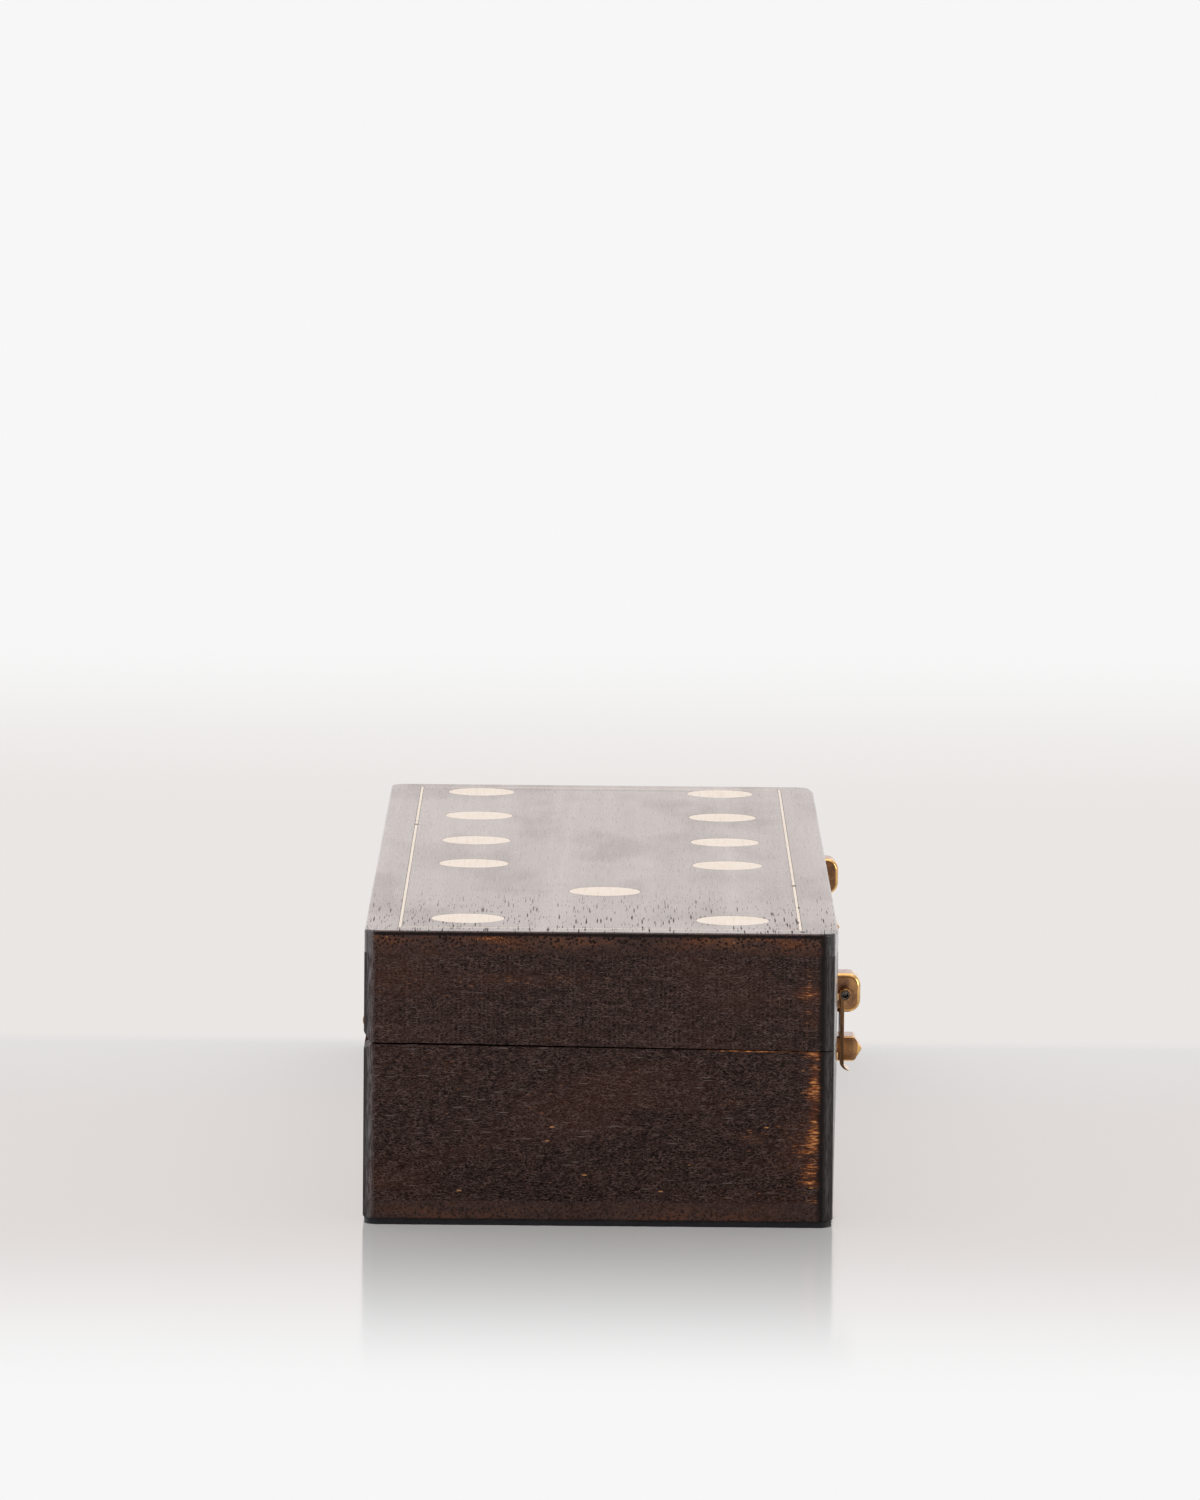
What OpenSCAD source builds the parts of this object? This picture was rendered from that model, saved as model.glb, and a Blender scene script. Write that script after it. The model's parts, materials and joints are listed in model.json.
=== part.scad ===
// Hinged wooden box for a set of 28 dominoes, with a lid inlaid like a five-six domino.
// X runs along the box, the two clasps are on the -Y side and the hinges on the +Y side, Z is up.
// The origin is the middle of the underside, on the surface that the box stands on.

/* [Box] */
// Length of the box outside, along X
box_len = 195; // [170:1:260]
// Width of the box outside, along Y
box_wid = 71; // [64:1:110]
// Thickness of the four walls
wall_t = 8; // [7.5:0.5:11]
// Thickness of the top panel
top_t = 3.5; // [2.5:0.1:8]
// Thickness of the bottom panel
bottom_t = 2.8; // [2:0.1:8]
// Height of the base walls above the bottom panel
base_wall_h = 23.7; // [20:0.1:50]
// Height of the lid walls below the top panel
lid_wall_h = 13.5; // [12:0.1:40]
// Radius on the four upright corners
corner_r = 2.5; // [0.5:0.1:5]
// Open seam between the base rim and the lid at the hinges
seam_gap = 0.3; // [0.2:0.05:0.5]
// Open seam between the base rim and the lid at the clasps
front_gap = 0.12; // [0.05:0.01:0.3]
// How much lower the seam is at the clasps than at the hinges
seam_fall = 0.6; // [0:0.05:1]
// Thickness of the felt under the bottom panel
felt_t = 0.9; // [0.5:0.1:3]
// How far the felt stays in from the edge
felt_inset = 0.2; // [0:0.1:2]

/* [Bevels along the hinge side] */
// How far the two bevels reach in from the back face
bevel_depth = 1.1; // [0.8:0.05:1.4]
// Height of the bevel on the lid
lid_bevel_h = 1.4; // [1.2:0.05:2.5]
// Height of the bevel on the base
base_bevel_h = 0.85; // [0.6:0.05:2]

/* [Inlaid pips] */
// Diameter of a pip
pip_d = 11.2; // [6:0.1:12]
// Thickness of a pip and depth of its pocket
pip_t = 1.4; // [0.5:0.1:2]
// Distance from the long edges of the lid to a column of pips
pip_side = 15.4; // [13:0.1:20]
// Distance from the left end of the lid to the outer row of the five
pip_five_end = 15.4; // [12:0.1:24]
// Distance from the middle of the lid to the inner row of the five
pip_five_mid = 13.3; // [8:0.1:20]
// Distance from the right end of the lid to the outer row of the six
pip_six_end = 11.2; // [11:0.1:24]
// Distance from the middle of the lid to the inner row of the six
pip_six_mid = 17.6; // [8:0.1:20]
// How far the single pip sits from the middle line, towards the clasps
single_pip_shift = 0.7; // [-2:0.1:2]

/* [Inlaid border] */
// Width of a border strip
strip_w = 0.55; // [0.4:0.05:1.5]
// Thickness of a border strip and depth of its groove
strip_t = 1; // [0.4:0.1:2]
// Distance from the long edges of the lid to the middle of a strip
strip_side_margin = 5.3; // [4:0.1:7]
// Distance from the short edges of the lid to the middle of a strip
strip_end_margin = 4.6; // [4:0.1:5]
// Joint in the front strip, measured from the left edge of the lid
front_joint_x = 58.7; // [30:0.1:120]
// Joint in the back strip, measured from the left edge of the lid
back_joint_x = 141.5; // [30:0.1:150]
// Gap at those two joints
strip_joint_gap = 0.6; // [0.1:0.1:2]
// Glue line around every inlay
glue_gap = 0.04; // [0.02:0.01:0.1]

/* [Hinges] */
// Distance from a hinge's middle to the near end of the box
hinge_from_end = 35.5; // [30:0.5:60]
// Length of a hinge along X
hinge_len = 20; // [18:0.5:30]
// Width of a hinge leaf, from the pin to its inner edge
leaf_w = 6.2; // [5.8:0.1:6.4]
// Thickness of a hinge leaf
leaf_t = 0.7; // [0.5:0.05:1]
// Radius of the hinge barrel
barrel_r = 1.5; // [1.2:0.05:1.6]
// Radius of the hinge pin
hinge_pin_r = 0.6; // [0.4:0.05:0.7]
// How far the hinge pin lies in from the back face
hinge_inset = 0.8; // [0.6:0.05:0.9]
// Share of the hinge length that one outer knuckle takes
knuckle_share = 0.3; // [0.2:0.01:0.36]
// Space round the barrel in the wood
barrel_clear = 0.3; // [0.2:0.05:0.5]
// Distance between the two screws of one leaf
screw_spacing = 12; // [9:0.5:14]
// Radius of a screw head
screw_head_r = 1.3; // [1:0.05:1.5]
// Radius of a screw shank
screw_r = 0.65; // [0.4:0.05:0.8]
// Length of a screw
screw_len = 7; // [5:0.5:9]

/* [Clasps] */
// Distance from a clasp's middle to the near end of the box
clasp_from_end = 25; // [20:0.5:50]
// Width of the two clasp plates
plate_w = 18; // [17:0.5:24]
// Thickness of the clasp plates
plate_t = 0.5; // [0.3:0.05:0.6]
// Height of the lid plate
lid_plate_h = 6.7; // [6.3:0.1:7.6]
// Height of the catch plate on the base
catch_plate_h = 5.3; // [4.6:0.1:9]
// Width of the boss and of the catch nose
boss_w = 5.6; // [3:0.1:7]
// Height of the boss
boss_h = 6; // [4.6:0.1:6.2]
// How far the boss stands out from the box
boss_out = 4.3; // [3.7:0.1:4.7]
// Radius on the outer corners of the boss
boss_r = 1.9; // [0.8:0.05:2.1]
// Height of the clasp pin above the seam
clasp_pin_up = 5.3; // [5:0.05:5.6]
// How far the clasp pin stands out from the box
clasp_pin_out = 1.9; // [1.75:0.05:2.1]
// Radius of the clasp pin
clasp_pin_r = 0.6; // [0.4:0.05:0.65]
// Width of the swinging hasp
hasp_w = 11; // [10:0.1:12]
// Thickness of the hasp sheet
hasp_t = 0.6; // [0.4:0.05:0.65]
// Radius of the hasp's eyes round the pin
eye_r = 0.9; // [0.85:0.05:1]
// Height of the catch nose
nose_h = 3.8; // [2.5:0.1:4.2]
// Distance from the seam down to the top of the catch nose
nose_drop = 1.4; // [1.35:0.05:2]
// How far the shoulder of the nose stands out from the box
nose_shoulder = 3.4; // [2.8:0.05:3.7]
// How far the point of the nose stands out from the box
nose_out = 4.7; // [4:0.1:5]
// Radius of the finger curl below the hasp
curl_r = 2; // [1.6:0.1:3]
// Angle of the finger curl
curl_angle = 68; // [40:1:80]
// How far above the lower end of its slot the hasp starts to curl
curl_lead = 0.45; // [0:0.05:0.6]
// Width of the finger curl
curl_w = 7; // [5:0.1:9]
// Distance from a clasp's middle to either of its nails
nail_side = 7.3; // [7:0.1:8]
// Radius of a nail head
nail_head_r = 0.9; // [0.6:0.05:1]
// Radius of a nail shank
nail_r = 0.4; // [0.3:0.05:0.6]
// Length of a nail shank
nail_len = 5.5; // [3:0.1:7]

/* [Hidden] */
$fn = 64;

// Clearances between pieces
run_clear = 0.06;    // a bore that turns on a pin
seat_clear = 0.05;   // a leaf in its mortise, a screw head in its countersink
hasp_clear = 0.2;    // the hasp beside and round the boss, and beside the nose
slot_clear = 0.25;   // the hasp above and below the nose
knuckle_gap = 0.2;   // between neighbouring knuckles
over = 1;            // how far a cutter runs past the face it cuts

// Small fixed shapes of the hardware
nail_head_h = 0.35;
nail_crown = 0.55;   // radius of a nail head's flat top as a share of its foot
slot_w = 0.35;
slot_depth = 0.3;
screw_head_h = 0.6;
screw_tip_h = 1.6;
screw_point = 0.2;   // radius of a screw's end as a share of its shank
pin_overhang = 0.15;
nose_setback = 0.3;  // from the catch plate's top edge down to the nose
hasp_offset = 0.2;   // the hasp sheet stands this far out of line with the back of its eyes

half_len = box_len / 2;
half_wid = box_wid / 2;
z_floor = felt_t + bottom_t;
z_rim = z_floor + base_wall_h;
z_lid = z_rim + seam_gap;
z_ceiling = z_lid + lid_wall_h;
z_top = z_ceiling + top_t;
z_seam = z_rim + seam_gap / 2;
lid_fall = seam_fall + seam_gap - front_gap;

hinge_x = half_len - hinge_from_end;
hinge_y = half_wid - hinge_inset;
knuckle_len = hinge_len * knuckle_share;
leaf_edge_y = hinge_y - barrel_r - barrel_clear;
slope_start_y = hinge_y - leaf_w - over;
screw_y = (leaf_edge_y + hinge_y - leaf_w) / 2;

clasp_x = half_len - clasp_from_end;
boss_low = clasp_pin_up - boss_h / 2;
boss_reach = norm([clasp_pin_out - plate_t, boss_h / 2]);
lid_plate_low = clasp_pin_up - lid_plate_h / 2;
catch_plate_top = nose_setback - nose_drop;
hasp_in = clasp_pin_out - eye_r + hasp_offset;
window_top = clasp_pin_up - boss_reach - hasp_clear;
slot_top = slot_clear - nose_drop;
slot_low = -nose_drop - nose_h - slot_clear;
curl_top = slot_low + curl_lead;
lid_nail_z = clasp_pin_up;
catch_nail_z = catch_plate_top - catch_plate_h / 2;

pip_y = half_wid - pip_side;
five_rows = [pip_five_end - half_len, -pip_five_mid];
six_rows = [pip_six_mid, half_len - pip_six_end];
strip_y = half_wid - strip_side_margin;
strip_x = half_len - strip_end_margin;

dark_wood = "#3a2a25";
lid_wood = "#40302b";
pale_inlay = "#e9dcc6";
felt_black = "#16171a";
brass = "#a9783f";
steel = "#8d8d90";

// Outline of the box seen from above, with its four upright corners rounded
module plan(inset = 0) {
    r = max(corner_r - inset, 0.1);
    square([box_len - 2 * inset, box_wid - 2 * inset - 2 * r], center = true);
    square([box_len - 2 * inset - 2 * r, box_wid - 2 * inset], center = true);
    for (sx = [-1, 1], sy = [-1, 1])
        translate([sx * (half_len - inset - r), sy * (half_wid - inset - r)])
            circle(r);
}

// Full plan of the box between two heights
module slab(z_low, z_high, inset = 0) {
    translate([0, 0, z_low])
        linear_extrude(z_high - z_low)
            plan(inset);
}

// Everything on the inner side of the left or right end board
module end_block(side, z_low, z_high) {
    translate([side > 0 ? half_len - wall_t : -half_len - over, -half_wid - over, z_low - over])
        cube([wall_t + over, box_wid + 2 * over, z_high - z_low + 2 * over]);
}

// Everything past a seam face, above it (dir 1) or below it (dir -1), which falls towards the front
module past_seam(z_face, dir, fall) {
    run = slope_start_y + half_wid;
    deep = fall + over;
    translate([-half_len - over, 0, 0])
        rotate([90, 0, 90])
            linear_extrude(box_len + 2 * over)
                polygon([
                    [half_wid + over, z_face],
                    [slope_start_y, z_face],
                    [-half_wid - over, z_face - fall * (run + over) / run],
                    [-half_wid - over, z_face + dir * deep],
                    [half_wid + over, z_face + dir * deep]
                ]);
}

// Wedge that bevels the back edge at a seam face, upwards (dir 1) or downwards (dir -1)
module bevel_wedge(z_face, bevel_h, dir) {
    reach = 0.5;
    translate([-half_len - over, 0, 0])
        rotate([90, 0, 90])
            linear_extrude(box_len + 2 * over)
                polygon([
                    [half_wid - bevel_depth * (1 + reach), z_face - dir * bevel_h * reach],
                    [half_wid + bevel_depth * reach, z_face + dir * bevel_h * (1 + reach)],
                    [half_wid + bevel_depth * reach, z_face - dir * bevel_h * reach]
                ]);
}

// End board: it covers the ends of the long walls
module end_board(side, z_low, z_high) {
    intersection() {
        slab(z_low, z_high);
        end_block(side, z_low, z_high);
    }
}

// Long wall between the two end boards, on the front (side -1) or the back (side 1)
module long_wall(side, z_low, z_high) {
    translate([-half_len + wall_t, side > 0 ? half_wid - wall_t : -half_wid, z_low])
        cube([box_len - 2 * wall_t, wall_t, z_high - z_low]);
}

module at_hinges() {
    for (side = [-1, 1])
        translate([side * hinge_x, 0, 0])
            children();
}

module at_screws() {
    for (side = [-1, 1])
        translate([side * screw_spacing / 2, screw_y, 0])
            children();
}

// Bar round the hinge axis
module axis_bar(r, len) {
    translate([0, hinge_y, z_seam])
        rotate([0, 90, 0])
            cylinder(r = r, h = len, center = true);
}

// Space for one leaf in the wood: its mortise, the barrel and the two screw shanks
module leaf_mortise(z_face, dir) {
    depth = leaf_t + seat_clear;
    len = hinge_len + 2 * seat_clear;
    translate([-len / 2, hinge_y - leaf_w - seat_clear, dir > 0 ? z_face - over : z_face - depth])
        cube([len, leaf_w + seat_clear + hinge_inset + over, depth + over]);
    axis_bar(barrel_r + barrel_clear, len + 2 * barrel_clear);
    at_screws()
        translate([0, 0, z_face])
            mirror([0, 0, dir > 0 ? 0 : 1])
                cylinder(r = screw_r, h = screw_len);
}

// One screw at its leaf: countersunk head flush with the leaf face, shank going into the wood
module screw(clear = 0) {
    cylinder(r1 = screw_head_r + clear, r2 = screw_r + clear, h = screw_head_h);
    cylinder(r = screw_r + clear, h = screw_len - screw_tip_h);
    translate([0, 0, screw_len - screw_tip_h])
        cylinder(r1 = screw_r + clear, r2 = screw_r * screw_point, h = screw_tip_h);
}

module slotted_screw() {
    difference() {
        screw();
        translate([0, 0, slot_depth / 2 - over / 2])
            cube([slot_w, 2 * screw_head_r + over, slot_depth + over], center = true);
    }
}

module base_end(side) {
    color(dark_wood)
        difference() {
            end_board(side, z_floor, z_rim);
            past_seam(z_rim, 1, seam_fall);
            bevel_wedge(z_rim, base_bevel_h, -1);
        }
}

module base_front_wall() {
    color(dark_wood)
        difference() {
            long_wall(-1, z_floor, z_rim);
            past_seam(z_rim, 1, seam_fall);
            at_clasps()
                nail_shanks(catch_nail_z);
        }
}

module base_back_wall() {
    color(dark_wood)
        difference() {
            long_wall(1, z_floor, z_rim);
            past_seam(z_rim, 1, seam_fall);
            bevel_wedge(z_rim, base_bevel_h, -1);
            at_hinges()
                leaf_mortise(z_rim, -1);
        }
}

module base_bottom() {
    color(dark_wood)
        slab(felt_t, z_floor);
}

module base_felt() {
    color(felt_black)
        slab(0, felt_t, felt_inset);
}

module lid_end(side) {
    color(dark_wood)
        difference() {
            end_board(side, z_lid - lid_fall, z_ceiling);
            past_seam(z_lid, -1, lid_fall);
            bevel_wedge(z_lid, lid_bevel_h, 1);
        }
}

module lid_front_wall() {
    color(dark_wood)
        difference() {
            long_wall(-1, z_lid - lid_fall, z_ceiling);
            past_seam(z_lid, -1, lid_fall);
            at_clasps()
                nail_shanks(lid_nail_z);
        }
}

module lid_back_wall() {
    color(dark_wood)
        difference() {
            long_wall(1, z_lid - lid_fall, z_ceiling);
            past_seam(z_lid, -1, lid_fall);
            bevel_wedge(z_lid, lid_bevel_h, 1);
            at_hinges()
                leaf_mortise(z_lid, 1);
        }
}

// Top panel with a pocket for each pip and a groove for each border strip
module lid_top() {
    color(lid_wood)
        difference() {
            slab(z_ceiling, z_top);
            pips_five(pip_d / 2, over);
            pips_six(pip_d / 2, over);
            border(strip_w, over, 0);
        }
}

// Round inlay let into the top face
module pip(r, above) {
    translate([0, 0, z_top - pip_t])
        cylinder(r = r, h = pip_t + above);
}

// Two pips side by side in each of the given rows
module pip_pairs(rows, r, above) {
    for (x = rows, sy = [-1, 1])
        translate([x, sy * pip_y, 0])
            pip(r, above);
}

function middle(rows) = (rows[0] + rows[1]) / 2;

module pips_five(r, above = 0) {
    pip_pairs(five_rows, r, above);
    translate([middle(five_rows), -single_pip_shift, 0])
        pip(r, above);
}

module pips_six(r, above = 0) {
    pip_pairs([six_rows[0], middle(six_rows), six_rows[1]], r, above);
}

// Strip along X from one place to another, let into the top face
module long_strip(x_low, x_high, y, w, above) {
    translate([x_low, y - w / 2, z_top - strip_t])
        cube([x_high - x_low, w, strip_t + above]);
}

// The border: two strips on each long side, one at each end; gap opens its joints
module border(w, above, gap) {
    for (side = [-1, 1]) {
        joint = -half_len + (side < 0 ? front_joint_x : back_joint_x);
        long_strip(-strip_x - w / 2, joint - gap / 2, side * strip_y, w, above);
        long_strip(joint + gap / 2, strip_x + w / 2, side * strip_y, w, above);
        if (gap == 0)
            long_strip(joint - over, joint + over, side * strip_y, w, above);
        translate([side * strip_x - w / 2, -strip_y + strip_w / 2 + gap_at(gap), z_top - strip_t])
            cube([w, 2 * strip_y - strip_w - 2 * gap_at(gap), strip_t + above]);
    }
}

// The end strips stop a glue line short of the long ones
function gap_at(gap) = gap > 0 ? glue_gap : -strip_w / 2;

module lid_border_inlay() {
    color(pale_inlay)
        border(strip_w - 2 * glue_gap, 0, strip_joint_gap);
}

// Knuckles of one leaf: the two outer ones (base) or the middle one (lid)
module knuckles(outer, bore_r) {
    mid_len = hinge_len - 2 * knuckle_len - 2 * knuckle_gap;
    reach = leaf_edge_y - hinge_y - over / 2;
    difference() {
        for (side = outer ? [-1, 1] : [0]) {
            len = outer ? knuckle_len : mid_len;
            translate([side * (hinge_len - knuckle_len) / 2, 0, 0]) {
                axis_bar(barrel_r, len);
                translate([-len / 2, hinge_y + reach, outer ? z_rim - leaf_t : z_lid])
                    cube([len, -reach, leaf_t]);
            }
        }
        axis_bar(bore_r, hinge_len + over);
    }
}

module leaf_plate(z_face, dir) {
    translate([-hinge_len / 2, hinge_y - leaf_w, dir > 0 ? z_face : z_face - leaf_t])
        cube([hinge_len, leaf_edge_y - hinge_y + leaf_w, leaf_t]);
}

module leaf(side, outer) {
    z_face = outer ? z_rim : z_lid;
    color(brass)
        translate([side * hinge_x, 0, 0])
            difference() {
                union() {
                    leaf_plate(z_face, outer ? -1 : 1);
                    knuckles(outer, outer ? hinge_pin_r : hinge_pin_r + run_clear);
                }
                at_screws()
                    translate([0, 0, z_face])
                        mirror([0, 0, outer ? 1 : 0])
                            screw(seat_clear);
            }
}

module hinge_pin(side) {
    color(steel)
        translate([side * hinge_x, 0, 0])
            axis_bar(hinge_pin_r, hinge_len + 2 * pin_overhang);
}

module base_hinge_screws() {
    color(brass)
        at_hinges()
            at_screws()
                translate([0, 0, z_rim])
                    mirror([0, 0, 1])
                        slotted_screw();
}

module lid_hinge_screws() {
    color(brass)
        at_hinges()
            at_screws()
                translate([0, 0, z_lid])
                    slotted_screw();
}

// Puts a clasp piece on the front face: its x points out of the box and its y up from the seam
module on_front(side) {
    translate([side * clasp_x, -half_wid, z_seam])
        rotate([90, 0, -90])
            children();
}

module at_clasps() {
    for (side = [-1, 1])
        on_front(side)
            children();
}

module nail_shanks(height) {
    for (side = [-1, 1])
        translate([plate_t, height, side * nail_side])
            rotate([0, -90, 0])
                cylinder(r = nail_r, h = nail_len);
}

module nails(height) {
    color(brass)
        at_clasps() {
            nail_shanks(height);
            for (side = [-1, 1])
                translate([plate_t, height, side * nail_side])
                    rotate([0, 90, 0])
                        cylinder(r1 = nail_head_r, r2 = nail_head_r * nail_crown, h = nail_head_h);
        }
}

module plate(low, height) {
    difference() {
        translate([0, low, -plate_w / 2])
            cube([plate_t, height, plate_w]);
        translate([over, 0, 0])
            nail_shanks(low + height / 2);
    }
}

// Rounded boss, seen from the side
module boss_profile() {
    back = plate_t / 2;
    translate([back, boss_low])
        square([boss_out - boss_r - back, boss_h]);
    translate([back, boss_low + boss_r])
        square([boss_out - back, boss_h - 2 * boss_r]);
    for (y = [boss_low + boss_r, boss_low + boss_h - boss_r])
        translate([boss_out - boss_r, y])
            circle(boss_r);
}

module clasp_plate(side) {
    color(brass)
        on_front(side)
            difference() {
                union() {
                    plate(lid_plate_low, lid_plate_h);
                    linear_extrude(boss_w, center = true)
                        boss_profile();
                }
                translate([clasp_pin_out, clasp_pin_up, 0])
                    cylinder(r = clasp_pin_r, h = boss_w + over, center = true);
            }
}

module clasp_pin(side) {
    color(steel)
        on_front(side)
            translate([clasp_pin_out, clasp_pin_up, 0])
                cylinder(r = clasp_pin_r, h = hasp_w + 2 * pin_overhang, center = true);
}

// Hasp seen from the side: an eye on the pin, a flat strip and a curl that turns outwards
module hasp_profile() {
    mid = hasp_in + hasp_t / 2;
    translate([clasp_pin_out, clasp_pin_up])
        circle(eye_r);
    translate([hasp_in, curl_top])
        square([hasp_t, clasp_pin_up - curl_top]);
    intersection() {
        translate([mid + curl_r, curl_top])
            difference() {
                circle(curl_r + hasp_t / 2);
                circle(curl_r - hasp_t / 2);
            }
        translate([mid + curl_r, curl_top])
            polygon([
                [0, 0],
                [-2 * curl_r, 0],
                [-2 * curl_r, -2 * curl_r],
                [-2 * curl_r * cos(curl_angle), -2 * curl_r * sin(curl_angle)]
            ]);
    }
}

module hasp(side) {
    window_w = boss_w + 2 * hasp_clear;
    color(brass)
        on_front(side)
            difference() {
                linear_extrude(hasp_w, center = true)
                    hasp_profile();
                translate([-over, window_top, -window_w / 2])
                    cube([boss_out + 2 * over, clasp_pin_up - window_top + eye_r + over, window_w]);
                translate([-over, slot_low, -window_w / 2])
                    cube([boss_out + 2 * over, slot_top - slot_low, window_w]);
                for (z = [-hasp_w / 2 - over, curl_w / 2])
                    translate([-over, slot_low - hasp_t - 2 * curl_r, z])
                        cube([2 * curl_r + 2 * over, 2 * curl_r - hasp_t, (hasp_w - curl_w) / 2 + over]);
                translate([clasp_pin_out, clasp_pin_up, 0])
                    cylinder(r = clasp_pin_r + run_clear, h = hasp_w + over, center = true);
            }
}

// Pointed catch nose, seen from the side
module nose_profile() {
    top = -nose_drop;
    low = top - nose_h;
    polygon([
        [plate_t / 2, low],
        [nose_shoulder, low],
        [nose_out, (top + low) / 2],
        [nose_shoulder, top],
        [plate_t / 2, top]
    ]);
}

module catch_plate(side) {
    color(brass)
        on_front(side) {
            plate(catch_plate_top - catch_plate_h, catch_plate_h);
            linear_extrude(boss_w, center = true)
                nose_profile();
        }
}

base_end(-1);  // base_left_end
base_end(1);  // base_right_end
base_front_wall();
base_back_wall();
base_bottom();
base_felt();
lid_end(-1);  // lid_left_end
lid_end(1);  // lid_right_end
lid_front_wall();
lid_back_wall();
lid_top();
lid_border_inlay();
color(pale_inlay) pips_five(pip_d / 2 - glue_gap);  // lid_pips_five
color(pale_inlay) pips_six(pip_d / 2 - glue_gap);  // lid_pips_six
leaf(-1, true);  // left_hinge_base_leaf
leaf(1, true);  // right_hinge_base_leaf
leaf(-1, false);  // left_hinge_lid_leaf
leaf(1, false);  // right_hinge_lid_leaf
hinge_pin(-1);  // left_hinge_pin
hinge_pin(1);  // right_hinge_pin
base_hinge_screws();
lid_hinge_screws();
clasp_plate(-1);  // left_clasp_plate
clasp_plate(1);  // right_clasp_plate
clasp_pin(-1);  // left_clasp_pin
clasp_pin(1);  // right_clasp_pin
hasp(-1);  // left_hasp
hasp(1);  // right_hasp
catch_plate(-1);  // left_catch_plate
catch_plate(1);  // right_catch_plate
nails(lid_nail_z);  // lid_clasp_nails
nails(catch_nail_z);  // catch_plate_nails
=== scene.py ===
"""Dresses the inlaid domino box: stained wood, pale inlay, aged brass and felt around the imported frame.

Lengths are in metres. X runs along the box, the clasps are on the -Y side, the hinges on the +Y side.
Recipes of materials work in millimetres, because their first step scales the Object coordinates.
"""

import json
import logging
import math
import random
from collections.abc import Callable, Iterable
from dataclasses import dataclass, field
from enum import Enum
from functools import cached_property

import bmesh
import bpy
from mathutils import Matrix, Vector


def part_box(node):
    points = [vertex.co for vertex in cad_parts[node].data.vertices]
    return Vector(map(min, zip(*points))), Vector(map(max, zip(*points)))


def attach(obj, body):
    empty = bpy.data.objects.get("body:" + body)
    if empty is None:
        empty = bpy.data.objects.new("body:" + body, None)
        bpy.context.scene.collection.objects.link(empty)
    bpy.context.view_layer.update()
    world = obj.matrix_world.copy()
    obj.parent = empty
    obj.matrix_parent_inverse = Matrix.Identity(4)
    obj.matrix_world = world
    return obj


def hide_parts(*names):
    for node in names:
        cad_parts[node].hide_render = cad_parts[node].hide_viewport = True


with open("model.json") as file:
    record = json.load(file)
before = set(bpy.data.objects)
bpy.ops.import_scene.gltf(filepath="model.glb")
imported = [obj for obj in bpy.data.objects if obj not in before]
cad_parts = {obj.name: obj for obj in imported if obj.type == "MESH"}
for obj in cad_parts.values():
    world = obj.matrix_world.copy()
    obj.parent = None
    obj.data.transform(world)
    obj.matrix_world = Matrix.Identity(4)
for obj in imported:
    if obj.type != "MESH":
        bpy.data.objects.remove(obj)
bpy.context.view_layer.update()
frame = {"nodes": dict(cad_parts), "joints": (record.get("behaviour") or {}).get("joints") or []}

LOG = logging.getLogger("domino_box")
MM = 0.001
WELD = 0.002 * MM
TOUCH = 0.02 * MM
FLAT = math.radians(0.4)
WHITE = (1.0, 1.0, 1.0, 1.0)

Colour = tuple[float, float, float, float]
Triple = tuple[float, float, float]
Socket = bpy.types.NodeSocket


def tint(red: int, green: int, blue: int) -> Colour:
    """Turns a display colour into the linear one that a shader takes.

    Args:
        red: Red, 0 to 255.
        green: Green, 0 to 255.
        blue: Blue, 0 to 255.

    Returns:
        The linear colour, with an alpha of 1.
    """
    def linear(level: int) -> float:
        """Linear value of one display level."""
        share = level / 255
        return share / 12.92 if share <= 0.04045 else ((share + 0.055) / 1.055) ** 2.4
    return (linear(red), linear(green), linear(blue), 1.0)


class Grain(Enum):
    """The way a board's fibres run."""

    ALONG_BOX = (1.0, 0.0, 0.0)
    ACROSS_BOX = (0.0, 1.0, 0.0)


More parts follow.
